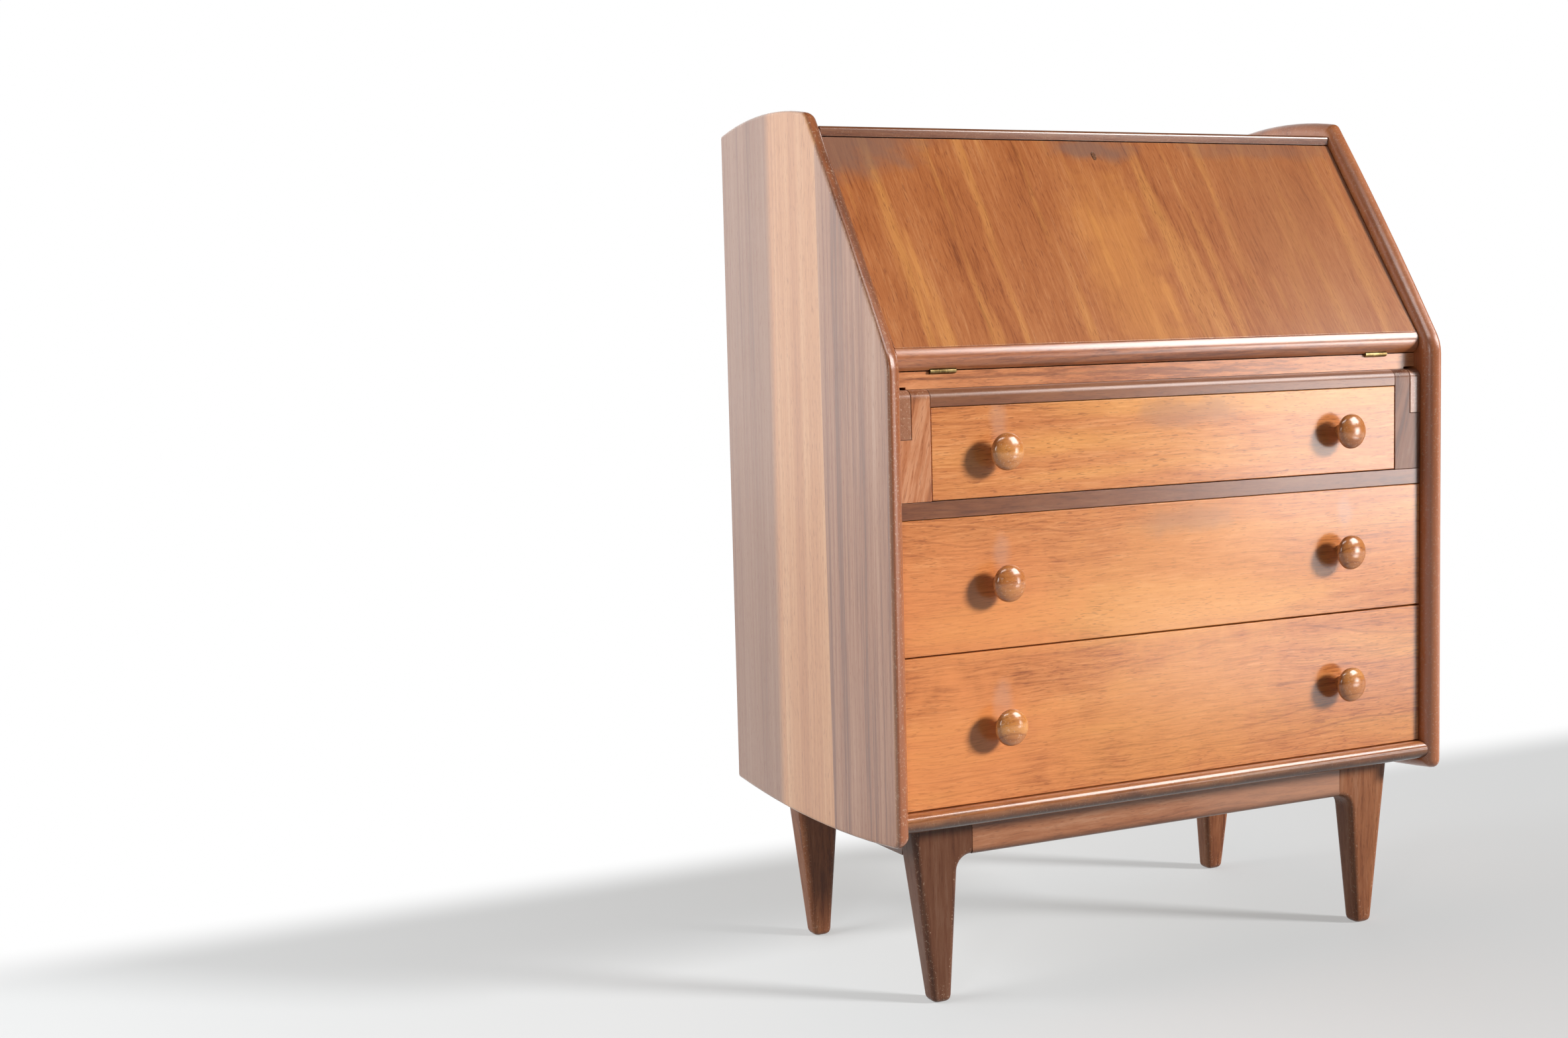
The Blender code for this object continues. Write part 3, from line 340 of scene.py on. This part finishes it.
def brassFinish(name, look):
    material, tree = startMaterial(name)
    place = put(tree, "TexCoord", {}).outputs["Object"]
    cloud = noise(tree, place, detail=4.0, rough=0.6, scale=look["cloudScale"])["Fac"]
    brushed = noise(tree, stretched(tree, place, *look["brushScale"]), rough=0.6)["Fac"]
    colour = ramped(tree, eased(tree, cloud, *look["cloudBand"]), look["tones"])
    gloss = calc(tree, "MULTIPLY_ADD", cloud, look["cloudGloss"], look["rough"])
    relief = {"Strength": look["bumpForce"], "Distance": look["bump"], "Height": brushed}
    bump = put(tree, "Bump", relief).outputs[0]
    shader = put(tree, "BsdfPrincipled", {"Base Color": colour, "Metallic": 1.0, "Roughness": gloss,
                                          "Normal": bump})
    put(tree, "OutputMaterial", {"Surface": shader.outputs[0]})
    return material


brass = {"tones": [(112, 92, 56), (150, 128, 84), (180, 156, 108)], "cloudScale": 120.0,
         "cloudBand": (0.3, 0.7), "cloudGloss": 0.25, "rough": 0.30, "brushScale": (40.0, 1800.0),
         "bump": 0.00004, "bumpForce": 0.3}
finishes["brass"] = brassFinish("brass", brass)
print("finishes made:", ", ".join(finishes))


def deselectAll():
    if bpy.context.mode != "OBJECT":
        bpy.ops.object.mode_set(mode="OBJECT")
    bpy.ops.object.select_all(action="DESELECT")


def choose(piece):
    deselectAll()
    piece.select_set(True)
    bpy.context.view_layer.objects.active = piece


def addModifier(piece, kind, **settings):
    choose(piece)
    modifier = piece.modifiers.new(kind.lower(), kind)
    for key, value in settings.items():
        setattr(modifier, key, value)
    bpy.ops.object.modifier_apply(modifier=modifier.name)


flatShare = 0.03  # a broad flat holds at least this share of the piece's surface


def markArrises(piece):
    # faces that belong to no broad flat of the piece are its rounds and arrises
    total = sum(face.area for face in piece.data.polygons)
    flats = {}
    for face in piece.data.polygons:
        key = tuple(round(part, 1) for part in face.normal)
        flats[key] = flats.get(key, 0.0) + face.area
    marks = piece.data.attributes.new("arris", "FLOAT", "FACE")
    for face in piece.data.polygons:
        key = tuple(round(part, 1) for part in face.normal)
        marks.data[face.index].value = 1.0 if flats[key] < flatShare * total else 0.0


# lengths in metres, angles in degrees
easing = {"join": 0.00002, "flat": 0.5, "sharp": 40, "steps": 2, "sliver": 0.000002, "smooth": 32,
          "weight": 60}


def smooth(piece):
    choose(piece)
    bpy.ops.object.shade_smooth_by_angle(angle=math.radians(easing["smooth"]))
    addModifier(piece, "WEIGHTED_NORMAL", keep_sharp=True, weight=easing["weight"])


def dress(piece, finish, body, slotName, *nodes):
    markArrises(piece)
    piece.data.materials.clear()
    piece.data.materials.append(finishes[finish])
    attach(piece, body)
    if nodes:
        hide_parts(*nodes)


scribed = {"bottom_rail": 0.0044}  # how far each end follows the rounded edge of the side beside it


def easedCopy(node, finish, ease):
    # the solid's own shape, with its loose triangles joined and its sharp arrises eased
    mesh = frame["nodes"][node].data.copy()
    piece = bpy.data.objects.new(node + "_wood", mesh)
    bpy.context.scene.collection.objects.link(piece)
    choose(piece)
    bpy.ops.object.mode_set(mode="EDIT")
    bpy.ops.mesh.select_all(action="SELECT")
    bpy.ops.mesh.customdata_custom_splitnormals_clear()
    bpy.ops.mesh.remove_doubles(threshold=easing["join"])
    bpy.ops.mesh.dissolve_limited(angle_limit=math.radians(easing["flat"]))
    if node in scribed:
        longer = 1 + 2 * scribed[node] / piece.dimensions.x
        bpy.ops.transform.resize(value=(longer, 1, 1), center_override=(0, 0, 0))
    bpy.ops.object.mode_set(mode="OBJECT")
    addModifier(piece, "BEVEL", width=ease, segments=easing["steps"], limit_method="ANGLE",
                angle_limit=math.radians(easing["sharp"]), use_clamp_overlap=True)
    bpy.ops.object.mode_set(mode="EDIT")
    bpy.ops.mesh.select_all(action="SELECT")
    bpy.ops.mesh.dissolve_degenerate(threshold=easing["sliver"])
    bpy.ops.object.mode_set(mode="OBJECT")
    smooth(piece)
    dress(piece, finish, nodeBody[node], nodeSlot[node], node)


# for each finish, how far its arrises are eased and the nodes that wear it
copies = {
    "sideTeak": (0.0006, ["side_left"]),
    "rightTeak": (0.0006, ["side_right"]),
    "fallTeak": (0.0008, ["fall_panel"]),
    "railTeak": (0.0006, ["middle_rail", "top_rail"]),
    "topTeak": (0.0006, ["top_board"]),
    "lippingTeak": (0.0006, ["fall_lipping"]),
    "hingeTeak": (0.0006, ["hinge_rail"]),
    "bottomTeak": (0.0006, ["bottom_rail"]),
    "apronTeak": (0.0006, ["front_apron", "back_apron"]),
    "stretcherTeak": (0.0006, ["side_stretcher_left", "side_stretcher_right"]),
    "legTeak": (0.0006, ["leg_front_left"]),
    # the back-left leg wears the lighter leg wood as painted light
    "warmLegTeak": (0.0006, ["leg_front_right", "leg_back_left", "leg_back_right"]),
    "stileTeak": (0.0006, ["stile_left"]),
    "darkStileTeak": (0.0006, ["stile_right"]),
    "loperTeak": (0.0006, ["loper_left", "loper_right"]),
    "frontTeak": (0.0005, [drawer + "_front" for drawer in drawers]),
    "deskTeak": (0.0005, ["desk_floor", "pigeonhole_shelf"]),
    "dividerTeak": (0.0005, ["pigeonhole_divider_left", "pigeonhole_divider_right"]),
    "paleWood": (0.0005, ["bottom_board"] + [drawer + "_back" for drawer in drawers]),
    "paleDeep": (0.0005, [f"{drawer}_side_{hand}" for drawer in drawers for hand in hands]
                 + [f"{drawer}_runner_{hand}" for drawer in drawers[1:] for hand in hands]
                 + ["loper_guide_" + hand for hand in hands]),
    "plyWood": (0.0003, [drawer + "_bottom" for drawer in drawers]),
    "plyUpright": (0.0003, ["back_panel"]),
    "brass": (0.0002, [f"hinge_{part}_{hand}" for part in ("leaf_rail", "leaf_fall", "pin")
                       for hand in hands]),
}
for finish, (ease, nodes) in copies.items():
    for node in nodes:
        easedCopy(node, finish, ease)
print("wood eased:", sum(len(nodes) for ease, nodes in copies.values()), "pieces")


def closeBack():
    bpy.ops.mesh.select_all(action="DESELECT")
    bpy.ops.mesh.select_non_manifold()
    bpy.ops.mesh.edge_face_add()
    bpy.ops.mesh.select_all(action="SELECT")
    bpy.ops.mesh.normals_make_consistent(inside=False)
    bpy.ops.object.mode_set(mode="OBJECT")


turnedSharp = 50  # degrees, past which an edge of a turned piece stays crisp


def turned(name, profile, reach, sides):
    # a ring drawn out towards the front step by step, and closed at its tip
    deselectAll()
    bpy.ops.mesh.primitive_circle_add(vertices=sides, radius=profile[0][0], location=(0, 0, 0),
                                      rotation=(math.radians(90), 0, 0))
    piece = bpy.context.object
    piece.name = name
    bpy.ops.object.transform_apply(location=True, rotation=True, scale=True)
    bpy.ops.object.mode_set(mode="EDIT")
    bpy.ops.mesh.select_all(action="SELECT")
    for (radiusNow, outNow), (radiusNext, outNext) in zip(profile, profile[1:]):
        bpy.ops.mesh.extrude_region_move(TRANSFORM_OT_translate={"value": (0, outNow - outNext, 0)})
        grow = radiusNext / radiusNow
        bpy.ops.transform.resize(value=(grow, 1, grow), center_override=(0, 0, 0))
    bpy.ops.mesh.extrude_region_move(TRANSFORM_OT_translate={"value": (0, profile[-1][1] - reach, 0)})
    bpy.ops.mesh.merge(type="CENTER")
    closeBack()
    bpy.ops.object.shade_smooth_by_angle(angle=math.radians(turnedSharp))
    return piece


def domed(radius, low, high, steps):
    turns = [math.radians(90) * step / steps for step in range(1, steps)]
    return [(radius * math.cos(turn), low + (high - low) * math.sin(turn)) for turn in turns]


def placed(model, name, spot, turn=(0, 0, 0), flip=False):
    # a copy with its own mesh, put in its place; flipped left to right where asked
    piece = bpy.data.objects.new(name, model.data.copy())
    bpy.context.scene.collection.objects.link(piece)
    piece.location = spot
    piece.rotation_euler = [math.radians(angle) for angle in turn]
    piece.scale = (-1 if flip else 1, 1, 1)
    choose(piece)
    bpy.ops.object.transform_apply(location=True, rotation=True, scale=True)
    if flip:
        bpy.ops.object.mode_set(mode="EDIT")
        bpy.ops.mesh.select_all(action="SELECT")
        bpy.ops.mesh.normals_make_consistent(inside=False)
        bpy.ops.object.mode_set(mode="OBJECT")
    return piece


knob = {"sides": 64, "stem": 0.0080, "rim": 0.0185, "cove": 0.0135, "coveSteps": 10, "domeSteps": 14}


def turnKnob(radius, reach):
    neck = knob["rim"] - knob["cove"]
    profile = [(knob["stem"], 0.0), (knob["stem"], neck)]
    for step in range(1, knob["coveSteps"] + 1):  # the hollow behind the rim
        turn = math.radians(90) * step / knob["coveSteps"]
        profile.append((knob["stem"] + (radius - knob["stem"]) * (1 - math.cos(turn)),
                        neck + knob["cove"] * math.sin(turn)))
    profile += domed(radius, knob["rim"], reach, knob["domeSteps"])
    return turned("knob", profile, reach, knob["sides"])


def fitKnobs():
    low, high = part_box("bottom_drawer_knob_left")
    model = turnKnob((high.x - low.x) / 2, faceY - low.y)
    for drawer in drawers:
        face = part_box(drawer + "_front")[0].y
        for hand in hands:
            node = f"{drawer}_knob_{hand}"
            low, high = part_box(node)
            piece = placed(model, node + "_turned", ((low.x + high.x) / 2, face, (low.z + high.z) / 2))
            dress(piece, "knobTeak", drawer, "solid_teak", node)
    bpy.data.objects.remove(model)


fitKnobs()
print("knobs turned")

# the oval plug in the old keyhole of the fall
keyPlug = {"at": (-0.004, -0.0290, 0.9450), "tilt": 56, "long": 0.012, "wide": 0.005, "sunk": 0.0012,
           "proud": 0.0004, "rim": 0.0007, "dish": 0.0004, "sides": 32}


def fitKeyPlug():
    tilt = math.radians(keyPlug["tilt"])
    out = Vector((0, -math.sin(tilt), math.cos(tilt)))
    tall = keyPlug["sunk"] + keyPlug["proud"]
    deselectAll()
    bpy.ops.mesh.primitive_circle_add(vertices=keyPlug["sides"], radius=keyPlug["long"] / 2, fill_type="NGON",
                                      location=Vector(keyPlug["at"]) - out * keyPlug["sunk"],
                                      rotation=(tilt, 0, 0))
    piece = bpy.context.object
    piece.name = "key_plug"
    piece.scale = (keyPlug["wide"] / keyPlug["long"], 1, 1)
    bpy.ops.object.transform_apply(location=True, rotation=True, scale=True)
    bpy.ops.object.mode_set(mode="EDIT")
    bpy.ops.mesh.select_all(action="SELECT")
    bpy.ops.mesh.extrude_region_move(TRANSFORM_OT_translate={"value": out * tall})
    bpy.ops.mesh.inset(thickness=keyPlug["rim"], depth=-keyPlug["dish"])
    closeBack()
    smooth(piece)
    dress(piece, "plugTeak", "fall", "solid_teak")


fitKeyPlug()

# slotted screws in the hinge leaves, two to a leaf
screw = {"sides": 24, "radius": 0.0021, "sunk": 0.0006, "proud": 0.0003, "slot": 0.0006, "deep": 0.0003,
         "apart": 0.010, "ease": 0.00012, "easeSteps": 2, "sharp": 60, "railSpot": (-0.1610, 0.7020),
         "fallSpot": (-0.1655, 0.7086), "fallTurn": -124}


def turnScrew():
    deselectAll()
    tall = screw["sunk"] + screw["proud"]
    bpy.ops.mesh.primitive_cylinder_add(vertices=screw["sides"], radius=screw["radius"], depth=tall,
                                        location=(0, 0, screw["proud"] - tall / 2))
    piece = bpy.context.object
    piece.name = "hinge_screw"
    bpy.ops.object.transform_apply(location=True, rotation=True, scale=True)
    addModifier(piece, "BEVEL", width=screw["ease"], segments=screw["easeSteps"], limit_method="ANGLE",
                angle_limit=math.radians(screw["sharp"]))
    bpy.ops.object.mode_set(mode="EDIT")
    for edge in (-screw["slot"] / 2, screw["slot"] / 2):
        bpy.ops.mesh.select_all(action="SELECT")
        bpy.ops.mesh.bisect(plane_co=(0, edge, 0), plane_no=(0, 1, 0))
    bpy.ops.mesh.select_all(action="DESELECT")
    bpy.ops.object.mode_set(mode="OBJECT")
    for face in piece.data.polygons:
        face.select = face.normal.z > 0.5 and abs(face.center.y) < screw["slot"] / 2 and face.center.z > 0
    bpy.ops.object.mode_set(mode="EDIT")
    bpy.ops.mesh.extrude_region_move(TRANSFORM_OT_translate={"value": (0, 0, -screw["deep"])})
    bpy.ops.object.mode_set(mode="OBJECT")
    smooth(piece)
    return piece


screwModel = turnScrew()
for hand in hands:
    low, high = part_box("hinge_leaf_rail_" + hand)
    for step, side in ((-1, "a"), (1, "b")):
        x = (low.x + high.x) / 2 + step * screw["apart"]
        piece = placed(screwModel, f"rail_screw_{hand}_{side}", (x, *screw["railSpot"]))
        dress(piece, "brass", "carcass", "brass")
        piece = placed(screwModel, f"fall_screw_{hand}_{side}", (x, *screw["fallSpot"]),
                       (screw["fallTurn"], 0, 0))
        dress(piece, "brass", "fall", "brass")
bpy.data.objects.remove(screwModel)
print("key plug and hinge screws fitted")

# the pins of the drawer fronts, seen on the outer faces of the drawer sides
lapPin = {"front": 0.0045, "back": 0.0090, "long": 0.0118, "sunk": 0.0006, "proud": 0.00012,
          "rows": {"top_drawer": (0.17, 0.5, 0.83), "middle_drawer": (0.11, 0.325, 0.67, 0.89),
                   "bottom_drawer": (0.11, 0.325, 0.67, 0.89)}}


def cutLapPin():
    deselectAll()
    bpy.ops.mesh.primitive_plane_add(size=1, location=(lapPin["sunk"], lapPin["long"] / 2, 0),
                                     rotation=(0, math.radians(-90), 0))
    piece = bpy.context.object
    piece.name = "lap_pin"
    piece.scale = (lapPin["back"], lapPin["long"], 1)
    bpy.ops.object.transform_apply(location=True, rotation=True, scale=True)
    bpy.ops.object.mode_set(mode="EDIT")
    bpy.ops.mesh.select_mode(type="VERT")
    bpy.ops.mesh.select_all(action="DESELECT")
    bpy.ops.object.mode_set(mode="OBJECT")
    for vertex in piece.data.vertices:
        vertex.select = vertex.co.y < lapPin["long"] / 2
    bpy.ops.object.mode_set(mode="EDIT")
    bpy.ops.transform.resize(value=(1, 1, lapPin["front"] / lapPin["back"]), center_override=(0, 0, 0))
    bpy.ops.mesh.select_all(action="SELECT")
    tall = lapPin["sunk"] + lapPin["proud"]
    bpy.ops.mesh.extrude_region_move(TRANSFORM_OT_translate={"value": (-tall, 0, 0)})
    closeBack()
    return piece


pinModel = cutLapPin()
for drawer, rows in lapPin["rows"].items():
    for hand in hands:
        low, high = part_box(f"{drawer}_side_{hand}")
        outer = low.x if hand == "left" else high.x
        for index, share in enumerate(rows):
            spot = (outer, low.y, low.z + (high.z - low.z) * share)
            piece = placed(pinModel, f"{drawer}_lap_pin_{hand}_{index}", spot, flip=hand == "right")
            dress(piece, "railTeak", drawer, "solid_teak")
bpy.data.objects.remove(pinModel)
print("drawer joints cut")

# the tacks that hold the back panel
tack = {"sides": 16, "radius": 0.0022, "rim": 0.0002, "high": 0.0010, "steps": 5, "inset": 0.008,
        "upright": 7, "level": 5}


def driveTacks():
    low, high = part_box("back_panel")
    profile = [(tack["radius"], 0.0), (tack["radius"], tack["rim"])]
    profile += domed(tack["radius"], tack["rim"], tack["high"], tack["steps"])
    model = turned("back_tack", profile, tack["high"], tack["sides"])
    left, right = low.x + tack["inset"], high.x - tack["inset"]
    bottom, top = low.z + tack["inset"], high.z - tack["inset"]
    spots = []
    for step in range(tack["upright"]):
        z = bottom + (top - bottom) * step / (tack["upright"] - 1)
        spots += [(left, z), (right, z)]
    for step in range(1, tack["level"] + 1):
        x = left + (right - left) * step / (tack["level"] + 1)
        spots += [(x, bottom), (x, top)]
    for index, (x, z) in enumerate(spots):
        piece = placed(model, f"back_tack_{index}", (x, high.y, z), (0, 0, 180))
        dress(piece, "brass", "carcass", "brass")
    bpy.data.objects.remove(model)


driveTacks()
print("back panel tacked")

stage = {"size": 12.0, "grey": (230, 232, 233), "bounce": (140, 140, 138), "pale": (222, 222, 221),
         "lift": 0.5, "wallFrom": 0.44, "wallTo": 0.62, "poolFrom": 1.8, "poolTo": 3.4}


def layFloor():
    deselectAll()
    bpy.ops.mesh.primitive_plane_add(size=stage["size"], location=(0, 0, 0))
    floor = bpy.context.object
    floor.name = "floor"
    material, tree = startMaterial("paleFloor")
    place = put(tree, "TexCoord", {}).outputs["Object"]
    parts = put(tree, "SeparateXYZ", {"Vector": place}).outputs
    away = put(tree, "VectorMath", {0: place}, operation="LENGTH").outputs["Value"]
    fade = calc(tree, "MAXIMUM", eased(tree, parts["Y"], stage["wallFrom"], stage["wallTo"]),
                eased(tree, away, stage["poolFrom"], stage["poolTo"]))
    rays = put(tree, "LightPath", {}).outputs
    seen = calc(tree, "MAXIMUM", rays["Is Camera Ray"], rays["Is Glossy Ray"])
    ownGrey = mixed(tree, seen, shade(*stage["bounce"]), shade(*stage["grey"]))  # throws little light back up
    matte = put(tree, "BsdfDiffuse", {"Color": ownGrey}).outputs[0]
    pale = put(tree, "Emission", {"Color": shade(*stage["pale"]), "Strength": 1.0}).outputs[0]
    white = put(tree, "Emission", {"Color": (1, 1, 1, 1), "Strength": 1.0}).outputs[0]
    lift = calc(tree, "MULTIPLY", seen, stage["lift"])
    ground = put(tree, "MixShader", {0: lift, 1: matte, 2: pale}).outputs[0]
    fade = calc(tree, "MULTIPLY", fade, seen)
    both = put(tree, "MixShader", {0: fade, 1: ground, 2: white}).outputs[0]
    put(tree, "OutputMaterial", {"Surface": both})
    floor.data.materials.append(material)


layFloor()

room = {"wall": (-0.4, 0.92, 0.0), "from": 0.2, "to": 0.7, "front": 0.05, "back": 1.5, "ceiling": 0.25,
        "ceilingFrom": 0.3, "ceilingTo": 0.8}


def paintWorld():
    # a pale wall behind, a darker room in front and above; the camera itself sees plain white
    world = bpy.data.worlds.new("studio")
    bpy.context.scene.world = world
    world.use_nodes = True
    tree = world.node_tree
    tree.nodes.clear()
    rays = put(tree, "LightPath", {}).outputs
    direction = put(tree, "TexCoord", {}).outputs["Generated"]
    parts = put(tree, "SeparateXYZ", {"Vector": direction}).outputs
    away = put(tree, "VectorMath", {0: direction, 1: room["wall"]}, operation="DOT_PRODUCT").outputs["Value"]
    level = eased(tree, away, room["from"], room["to"], room["front"], room["back"])
    overhead = eased(tree, parts["Z"], room["ceilingFrom"], room["ceilingTo"], 1.0, room["ceiling"])
    level = calc(tree, "MULTIPLY", level, overhead)
    seen = calc(tree, "MAXIMUM", rays["Is Camera Ray"], rays["Is Transmission Ray"])
    level = put(tree, "Mix", {0: seen, 2: level, 3: 1.0}).outputs[0]
    glow = put(tree, "Background", {"Color": (1, 1, 1, 1), "Strength": level}).outputs[0]
    put(tree, "OutputWorld", {"Surface": glow})


paintWorld()

# the cards are only mirrored by the polish, the key and the fill only light the wood
lamps = {
    "second": {"azimuth": -47, "elevation": 14, "distance": 2.8, "width": 0.3, "height": 0.8, "power": 7},
    "leftFill": {"azimuth": -98, "elevation": 22, "distance": 2.6, "width": 1.3, "height": 1.3, "power": 34},
    "highCard": {"azimuth": 45, "elevation": 31, "distance": 2.8, "width": 1.3, "height": 1.3, "power": 62},
    "knobCard": {"azimuth": -25, "elevation": 55, "distance": 2.4, "width": 1.2, "height": 0.4, "power": 12},
    "lowCard": {"azimuth": 44, "elevation": -2, "distance": 1.6, "width": 0.8, "height": 0.5, "power": 0.42,
                "aim": (0.36, -0.18, 0.60), "spread": 27},
    "floorCard": {"azimuth": 40, "elevation": -13, "distance": 1.6, "width": 0.8, "height": 0.3, "power": 0.2,
                  "aim": (0.25, -0.18, 0.38), "spread": 32},
}
key = {"azimuth": 50, "elevation": 18, "distance": 4.0, "spread": 10.6, "strength": 4.8}
plainAim = (0, 0, 0.5)
plainSpread = 180


def hangLamp(name, look, kind="AREA"):
    # the azimuth runs from straight in front of the drawers round to the right
    aim = Vector(look.get("aim", plainAim))
    turn = math.radians(look["azimuth"])
    rise = math.radians(look["elevation"])
    way = Vector((math.sin(turn) * math.cos(rise), -math.cos(turn) * math.cos(rise), math.sin(rise)))
    deselectAll()
    bpy.ops.object.light_add(type=kind, location=aim + way * look["distance"],
                             rotation=way.to_track_quat("Z", "Y").to_euler())
    lamp = bpy.context.object
    lamp.name = name + "Lamp"
    return lamp


keyLamp = hangLamp("key", key, "SUN")
keyLamp.data.energy = key["strength"]
keyLamp.data.angle = math.radians(key["spread"])
keyLamp.visible_glossy = False
for name, look in lamps.items():
    lamp = hangLamp(name, look)
    lamp.data.shape = "RECTANGLE"
    lamp.data.size = look["width"]
    lamp.data.size_y = look["height"]
    lamp.data.energy = look["power"]
    lamp.data.spread = math.radians(look.get("spread", plainSpread))
    lamp.visible_diffuse = not name.endswith("Card")
    lamp.visible_glossy = not name.endswith("Fill")
print("floor, world and lamps set")

camera = {"place": (-1.4151685, -2.0864280, 0.7562866), "yaw": 25.731187, "pitch": 5.407524,
          "roll": -1.489774, "lens": 47.2487, "sensor": 36.0}


def setCamera():
    deselectAll()
    bpy.ops.object.camera_add(location=camera["place"])
    eye = bpy.context.object
    turn = Matrix.Rotation(math.radians(-camera["yaw"]), 4, "Z")
    tilt = Matrix.Rotation(math.radians(90 - camera["pitch"]), 4, "X")
    roll = Matrix.Rotation(math.radians(camera["roll"]), 4, "Z")
    eye.rotation_euler = (turn @ tilt @ roll).to_euler()
    eye.data.lens = camera["lens"]
    eye.data.sensor_width = camera["sensor"]
    eye.data.sensor_fit = "HORIZONTAL"
    eye.name = "camera"
    bpy.context.scene.camera = eye


setCamera()
bpy.context.scene.view_settings.view_transform = "Standard"
deselectAll()
bpy.context.view_layer.update()
